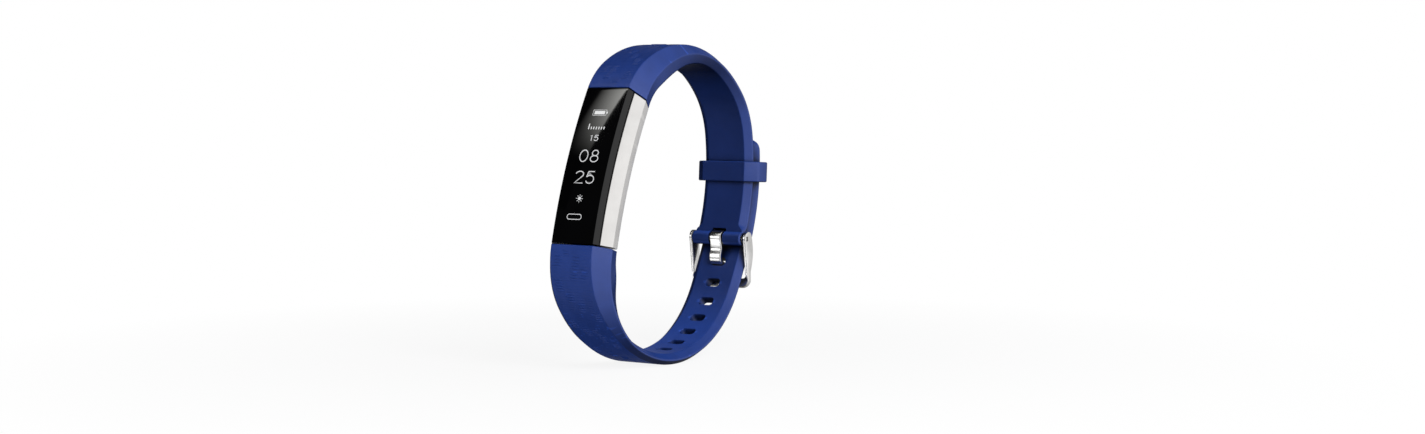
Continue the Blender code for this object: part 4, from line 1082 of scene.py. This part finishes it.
def plate(bm, outline, hole=None):
    """A thin plate in mm from an outline, or a flat ring when a hole outline is given."""
    thickness = 0.01
    if hole is None:
        skin(bm, [[Vector((x, y, z)) for x, y in outline] for z in (0.0, thickness)])
        return
    rings = []
    for (x, y), (u, v) in zip(outline, hole):
        rings.append([Vector((x, y, 0)), Vector((x, y, thickness)), Vector((u, v, thickness)), Vector((u, v, 0))])
    skin(bm, rings, True)


def box_outline(x, y, half_x, half_y, radius):
    corners = [(x - half_x, y - half_y, radius), (x + half_x, y - half_y, radius),
               (x + half_x, y + half_y, radius), (x - half_x, y + half_y, radius)]
    return [tuple(p) for p in rounded(corners, 6)]


def bow(x, y, across, tall, start, end, steps=24):
    """Points along part of an ellipse, from one angle in degrees to another."""
    angles = [math.radians(start + (end - start) * i / steps) for i in range(steps + 1)]
    return [(x + across * math.cos(a), y + tall * math.sin(a)) for a in angles]


# Strokes of the digits in a box one unit high, centred: each is a run of points, closed if it is a ring.
STROKES = {
    "0": [(bow(0, 0, 0.27, 0.455, 0, 345), True)],
    "1": [([(-0.16, 0.27), (0.03, 0.455), (0.03, -0.5)], False)],
    "2": [(bow(0, 0.22, 0.26, 0.235, 172, -38) + [(-0.27, -0.455), (0.3, -0.455)], False)],
    "5": [([(0.25, 0.455), (-0.17, 0.455), (-0.24, 0.02)] + bow(0, -0.15, 0.27, 0.305, 135, -155), False)],
    "8": [(bow(0, 0.235, 0.2, 0.22, 0, 345), True), (bow(0, -0.21, 0.255, 0.245, 0, 345), True)],
}


def draw_stroke(bm, points, width, closed):
    """A flat line of even width along a run of points in mm."""
    count = len(points)
    left, right = [], []
    for i, (x, y) in enumerate(points):
        before = points[i - 1] if closed or i else points[0]
        after = points[(i + 1) % count] if closed or i < count - 1 else points[-1]
        along = Vector((after[0] - before[0], after[1] - before[1])).normalized()
        across = Vector((-along.y, along.x)) * width / 2
        left.append((x + across.x, y + across.y))
        right.append((x - across.x, y - across.y))
    if closed:
        plate(bm, left, right)
    else:
        plate(bm, left + right[::-1])


def digits(text, height, centre_x, pitch, width):
    """A drawing of numbers in slim strokes, with their places a pitch apart; all in mm."""
    def draw(bm):
        for place, digit in enumerate(text):
            middle = centre_x + (place - (len(text) - 1) / 2) * pitch
            for run, closed in STROKES[digit]:
                points = [(middle + u * height * DIGIT_WIDTH, v * height) for u, v in run]
                draw_stroke(bm, points, width, closed)

    return draw


DIGIT_WIDTH = 1.33


def icon(name, centre_y, draw):
    bm = bmesh.new()
    draw(bm)
    obj = solid(name, bm)
    lay_on_lens(obj, centre_y)
    dress(obj, "display_light", "band")
    obj["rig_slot"] = "oled_panel"


def draw_battery(bm):
    plate(bm, box_outline(-0.1, 0, 1.7, 0.64, 0.12), box_outline(-0.1, 0, 1.62, 0.56, 0.06))
    plate(bm, box_outline(-0.1, 0, 1.3, 0.38, 0.03))
    plate(bm, box_outline(1.75, 0, 0.1, 0.24, 0.04))


def draw_week(bm):
    """Seven ticks, one for each day, with the first one tall."""
    for day in range(7):
        half = 0.62 if day == 0 else 0.3
        plate(bm, box_outline(-1.8 + day * 0.64, half - 0.62, 0.12, half, 0.05))


SUN_X = 0.0


def draw_sun(bm):
    plate(bm, [(SUN_X + 0.36 * math.cos(a), 0.36 * math.sin(a)) for a in (math.tau * i / 28 for i in range(28))])
    for ray in range(8):
        angle = math.tau * ray / 8
        c, s = math.cos(angle), math.sin(angle)
        points = [(0.5, -0.06), (0.8, -0.06), (0.8, 0.06), (0.5, 0.06)]
        plate(bm, [(SUN_X + x * c - y * s, x * s + y * c) for x, y in points])


def draw_pill(bm):
    plate(bm, box_outline(-0.5, 0, 1.83, 0.6, 0.58), box_outline(-0.5, 0, 1.68, 0.45, 0.43))


def make_display():
    icon("icon_battery", 11.5, draw_battery)
    icon("icon_week", 8.4, draw_week)
    icon("digits_day", 5.9, digits("15", 1.3, 0.15, 1.2, 0.16))
    icon("digits_hour", 2.0, digits("08", 2.72, 0.15, 2.7, 0.21))
    icon("digits_minute", -2.55, digits("25", 2.72, 0.2, 2.7, 0.21))
    icon("icon_sun", -7.0, draw_sun)
    icon("icon_pill", -10.8, draw_pill)


# ---------------------------------------------------------------- CAD nodes that stay

def soften_group():
    """Node group that shades smooth apart from edges sharper than 40 degrees."""
    group = bpy.data.node_groups.new("soften", "GeometryNodeTree")
    group.interface.new_socket("Geometry", in_out="INPUT", socket_type="NodeSocketGeometry")
    group.interface.new_socket("Geometry", in_out="OUTPUT", socket_type="NodeSocketGeometry")
    start = group.nodes.new("NodeGroupInput")
    end = group.nodes.new("NodeGroupOutput")
    smooth = group.nodes.new("GeometryNodeSetShadeSmooth")
    angle = group.nodes.new("GeometryNodeInputMeshEdgeAngle")
    sharp = group.nodes.new("FunctionNodeCompare")
    sharp.operation = "LESS_THAN"
    sharp.inputs[1].default_value = math.radians(40)
    edges = group.nodes.new("GeometryNodeSetShadeSmooth")
    edges.domain = "EDGE"
    group.links.new(start.outputs[0], smooth.inputs[0])
    group.links.new(smooth.outputs[0], edges.inputs[0])
    group.links.new(angle.outputs[0], sharp.inputs[0])
    group.links.new(sharp.outputs[0], edges.inputs["Shade Smooth"])
    group.links.new(edges.outputs[0], end.inputs[0])
    return group


def dress_cad_nodes():
    group = soften_group()
    slots = {part["node"]: part["material_slot"] for part in frame["record"]["subparts"]}
    for name, obj in frame["nodes"].items():
        if obj.hide_render:
            continue
        if not obj.data.materials:
            obj.data.materials.append(MATERIALS[slots[name]])
        for index in range(len(obj.data.materials)):
            obj.data.materials[index] = MATERIALS[slots[name]]
        weld = obj.modifiers.new("weld", "WELD")
        weld.merge_threshold = 0.000002
        bevel = obj.modifiers.new("edges", "BEVEL")
        bevel.width = 0.06 * MM
        bevel.segments = 2
        bevel.limit_method = "ANGLE"
        bevel.angle_limit = math.radians(40)
        shade = obj.modifiers.new("soften", "NODES")
        shade.node_group = group


# ---------------------------------------------------------------- studio

def make_floor():
    """A pale floor under the band that fades into the white background."""
    level = CAD_BOUNDS[0][2]
    bm = bmesh.new()
    bmesh.ops.create_grid(bm, x_segments=1, y_segments=1, size=4.0,
                          matrix=Matrix.Translation((0.0, 0.0, level)))
    floor = solid("floor", bm)
    material = bpy.data.materials.new("floor_paper")
    material.use_nodes = True
    tree = material.node_tree
    tree.nodes.clear()
    place = node(tree, "ShaderNodeTexCoord").outputs["Object"]
    distance = node(tree, "ShaderNodeVectorMath", {"operation": "LENGTH"}, i0=place).outputs["Value"]
    lit = node(tree, "ShaderNodeMapRange", None, Value=distance, From_Min=0.05, From_Max=0.16,
               To_Min=0.12, To_Max=0.0).outputs[0]
    paper = node(tree, "ShaderNodeBsdfDiffuse", None, Color=(0.85, 0.85, 0.86, 1.0))
    white = node(tree, "ShaderNodeEmission", None, Color=(1, 1, 1, 1), Strength=1.0)
    blend = node(tree, "ShaderNodeMixShader", None, Fac=lit)
    tree.links.new(white.outputs[0], blend.inputs[1])
    tree.links.new(paper.outputs[0], blend.inputs[2])
    out = node(tree, "ShaderNodeOutputMaterial")
    tree.links.new(blend.outputs[0], out.inputs[0])
    floor.data.materials.append(material)
    floor.visible_diffuse = floor.visible_glossy = floor.visible_shadow = False


def make_world():
    """White behind the band; for light and reflections, bright on the right and dark on the left."""
    world = bpy.data.worlds.new("studio")
    bpy.context.scene.world = world
    world.use_nodes = True
    tree = world.node_tree
    tree.nodes.clear()
    way = node(tree, "ShaderNodeTexCoord").outputs["Generated"]
    parts = node(tree, "ShaderNodeSeparateXYZ", None, Vector=way)
    right = node(tree, "ShaderNodeMapRange", {"interpolation_type": "SMOOTHSTEP"}, Value=parts.outputs[0],
                 From_Min=0.2, From_Max=0.85, To_Min=0.015, To_Max=1.0).outputs[0]
    back = node(tree, "ShaderNodeMapRange", {"interpolation_type": "SMOOTHSTEP"}, Value=parts.outputs[1],
                From_Min=0.3, From_Max=1.0, To_Min=0.0, To_Max=0.6).outputs[0]
    strength = math_node(tree, "MAXIMUM", right, back)
    seen = node(tree, "ShaderNodeLightPath").outputs["Is Camera Ray"]
    light = node(tree, "ShaderNodeBackground", None, Color=(1, 1, 1, 1), Strength=strength)
    white = node(tree, "ShaderNodeBackground", None, Color=(1, 1, 1, 1), Strength=1.0)
    mix = node(tree, "ShaderNodeMixShader", None, Fac=seen)
    tree.links.new(light.outputs[0], mix.inputs[1])
    tree.links.new(white.outputs[0], mix.inputs[2])
    out = node(tree, "ShaderNodeOutputWorld")
    tree.links.new(mix.outputs[0], out.inputs[0])


def add_light(name, place, target, size, power, glossy=True, only=()):
    """A soft rectangular light aimed at a target; it lights only the named pieces if there are any."""
    data = bpy.data.lights.new(name, "AREA")
    data.shape = "RECTANGLE"
    data.size, data.size_y = size
    data.energy = power
    light = bpy.data.objects.new(name, data)
    light.location = place
    light.rotation_euler = (Vector(target) - Vector(place)).to_track_quat("-Z", "Y").to_euler()
    light.visible_camera = False
    light.visible_glossy = glossy
    bpy.context.scene.collection.objects.link(light)
    if only:
        lit = bpy.data.collections.new(name + "_receivers")
        for piece in only:
            lit.objects.link(bpy.data.objects[piece])
        light.light_linking.receiver_collection = lit


def make_lights():
    add_light("key", (0.36, -0.20, 0.20), (0, 0, 0), (0.25, 0.25), 2.2, glossy=False)
    add_light("front", (-0.12, -0.45, 0.02), (0, 0, 0), (0.3, 0.3), 0.72, glossy=False)
    add_light("low", (-0.16, -0.30, -0.36), (0, 0, -0.02), (0.3, 0.3), 0.6, glossy=False)
    steel = ("buckle_frame_steel", "buckle_tongue_steel")
    add_light("steel_upper", (-0.24, -0.36, 0.08), (0, 0, 0), (0.34, 0.22), 0.44, only=steel)
    add_light("steel_lower", (-0.20, -0.30, -0.22), (0, 0, 0), (0.34, 0.20), 0.34, only=steel)


VIEW_AZIMUTH = math.radians(35)
VIEW_ELEVATION = math.radians(3)
VIEW_DISTANCE = 0.470
VIEW_BACK = Vector((math.sin(VIEW_AZIMUTH) * math.cos(VIEW_ELEVATION),
                    -math.cos(VIEW_AZIMUTH) * math.cos(VIEW_ELEVATION), math.sin(VIEW_ELEVATION)))
VIEW_POINT = VIEW_BACK * VIEW_DISTANCE + Vector((0.0, -0.2 * MM, -0.3 * MM))


def make_card():
    """A soft card to the front left that the lens mirrors as a pale wedge under its upper end."""
    foot = on_tracker(0.0, 8 * MM, 0.0)
    normal = (foot - TRACKER @ Vector((0.0, 0.0, -TRACKER_RADIUS))).normalized()
    ray = (foot - VIEW_POINT).normalized()
    bounce = ray - 2 * ray.dot(normal) * normal
    up = (TRACKER.to_3x3() @ Vector((0, 1, 0)))
    up = (up - up.dot(bounce) * bounce).normalized()
    across = up.cross(bounce)
    if across.x < 0:
        across.negate()
    up = (up + 0.17 * across).normalized()
    across = (across - across.dot(up) * up).normalized()
    turn = Matrix((across, up, across.cross(up))).transposed().to_4x4()
    bm = bmesh.new()
    corners = [(-0.07, -0.05), (0.0, -0.05), (0.0, 0.08), (-0.07, 0.08)]
    bm.faces.new([bm.verts.new((u, v, 0.0)) for u, v in corners])
    card = solid("soft_card", bm)
    card.matrix_world = Matrix.Translation(foot + bounce * 0.12 + across * 4.4 * MM) @ turn
    card.visible_camera = card.visible_diffuse = card.visible_shadow = False
    material = bpy.data.materials.new("soft_card")
    material.use_nodes = True
    tree = material.node_tree
    tree.nodes.clear()
    place = node(tree, "ShaderNodeTexCoord").outputs["Object"]
    parts = node(tree, "ShaderNodeSeparateXYZ", None, Vector=place)
    side = node(tree, "ShaderNodeMapRange", None, Value=parts.outputs[0], From_Min=-0.018,
                From_Max=0.0, To_Min=0.0, To_Max=1.0).outputs[0]
    rise = node(tree, "ShaderNodeMapRange", {"interpolation_type": "SMOOTHSTEP"}, Value=parts.outputs[1],
                From_Min=-0.02, From_Max=0.026, To_Min=0.0, To_Max=6.0).outputs[0]
    glow = node(tree, "ShaderNodeEmission", None, Color=(1, 1, 0.96, 1),
                Strength=math_node(tree, "MULTIPLY", side, rise))
    out = node(tree, "ShaderNodeOutputMaterial")
    tree.links.new(glow.outputs[0], out.inputs[0])
    card.data.materials.append(material)


def make_camera():
    data = bpy.data.cameras.new("camera")
    data.lens = 56.4
    data.sensor_width = 36.0
    data.shift_x = 0.0368
    data.shift_y = -0.0084
    data.clip_start = 0.01
    camera = bpy.data.objects.new("camera", data)
    camera.location = VIEW_POINT
    camera.rotation_euler = (-VIEW_BACK).to_track_quat("-Z", "Y").to_euler()
    bpy.context.scene.collection.objects.link(camera)
    bpy.context.scene.camera = camera


def main():
    bpy.context.scene.view_settings.view_transform = "Standard"
    make_materials()
    make_upper_strap()
    make_lower_strap()
    make_keeper()
    make_buckle_frame()
    make_tongue()
    make_lens()
    make_housing()
    make_rear_cover()
    make_display()
    dress_cad_nodes()
    make_floor()
    make_world()
    make_lights()
    make_card()
    make_camera()


main()
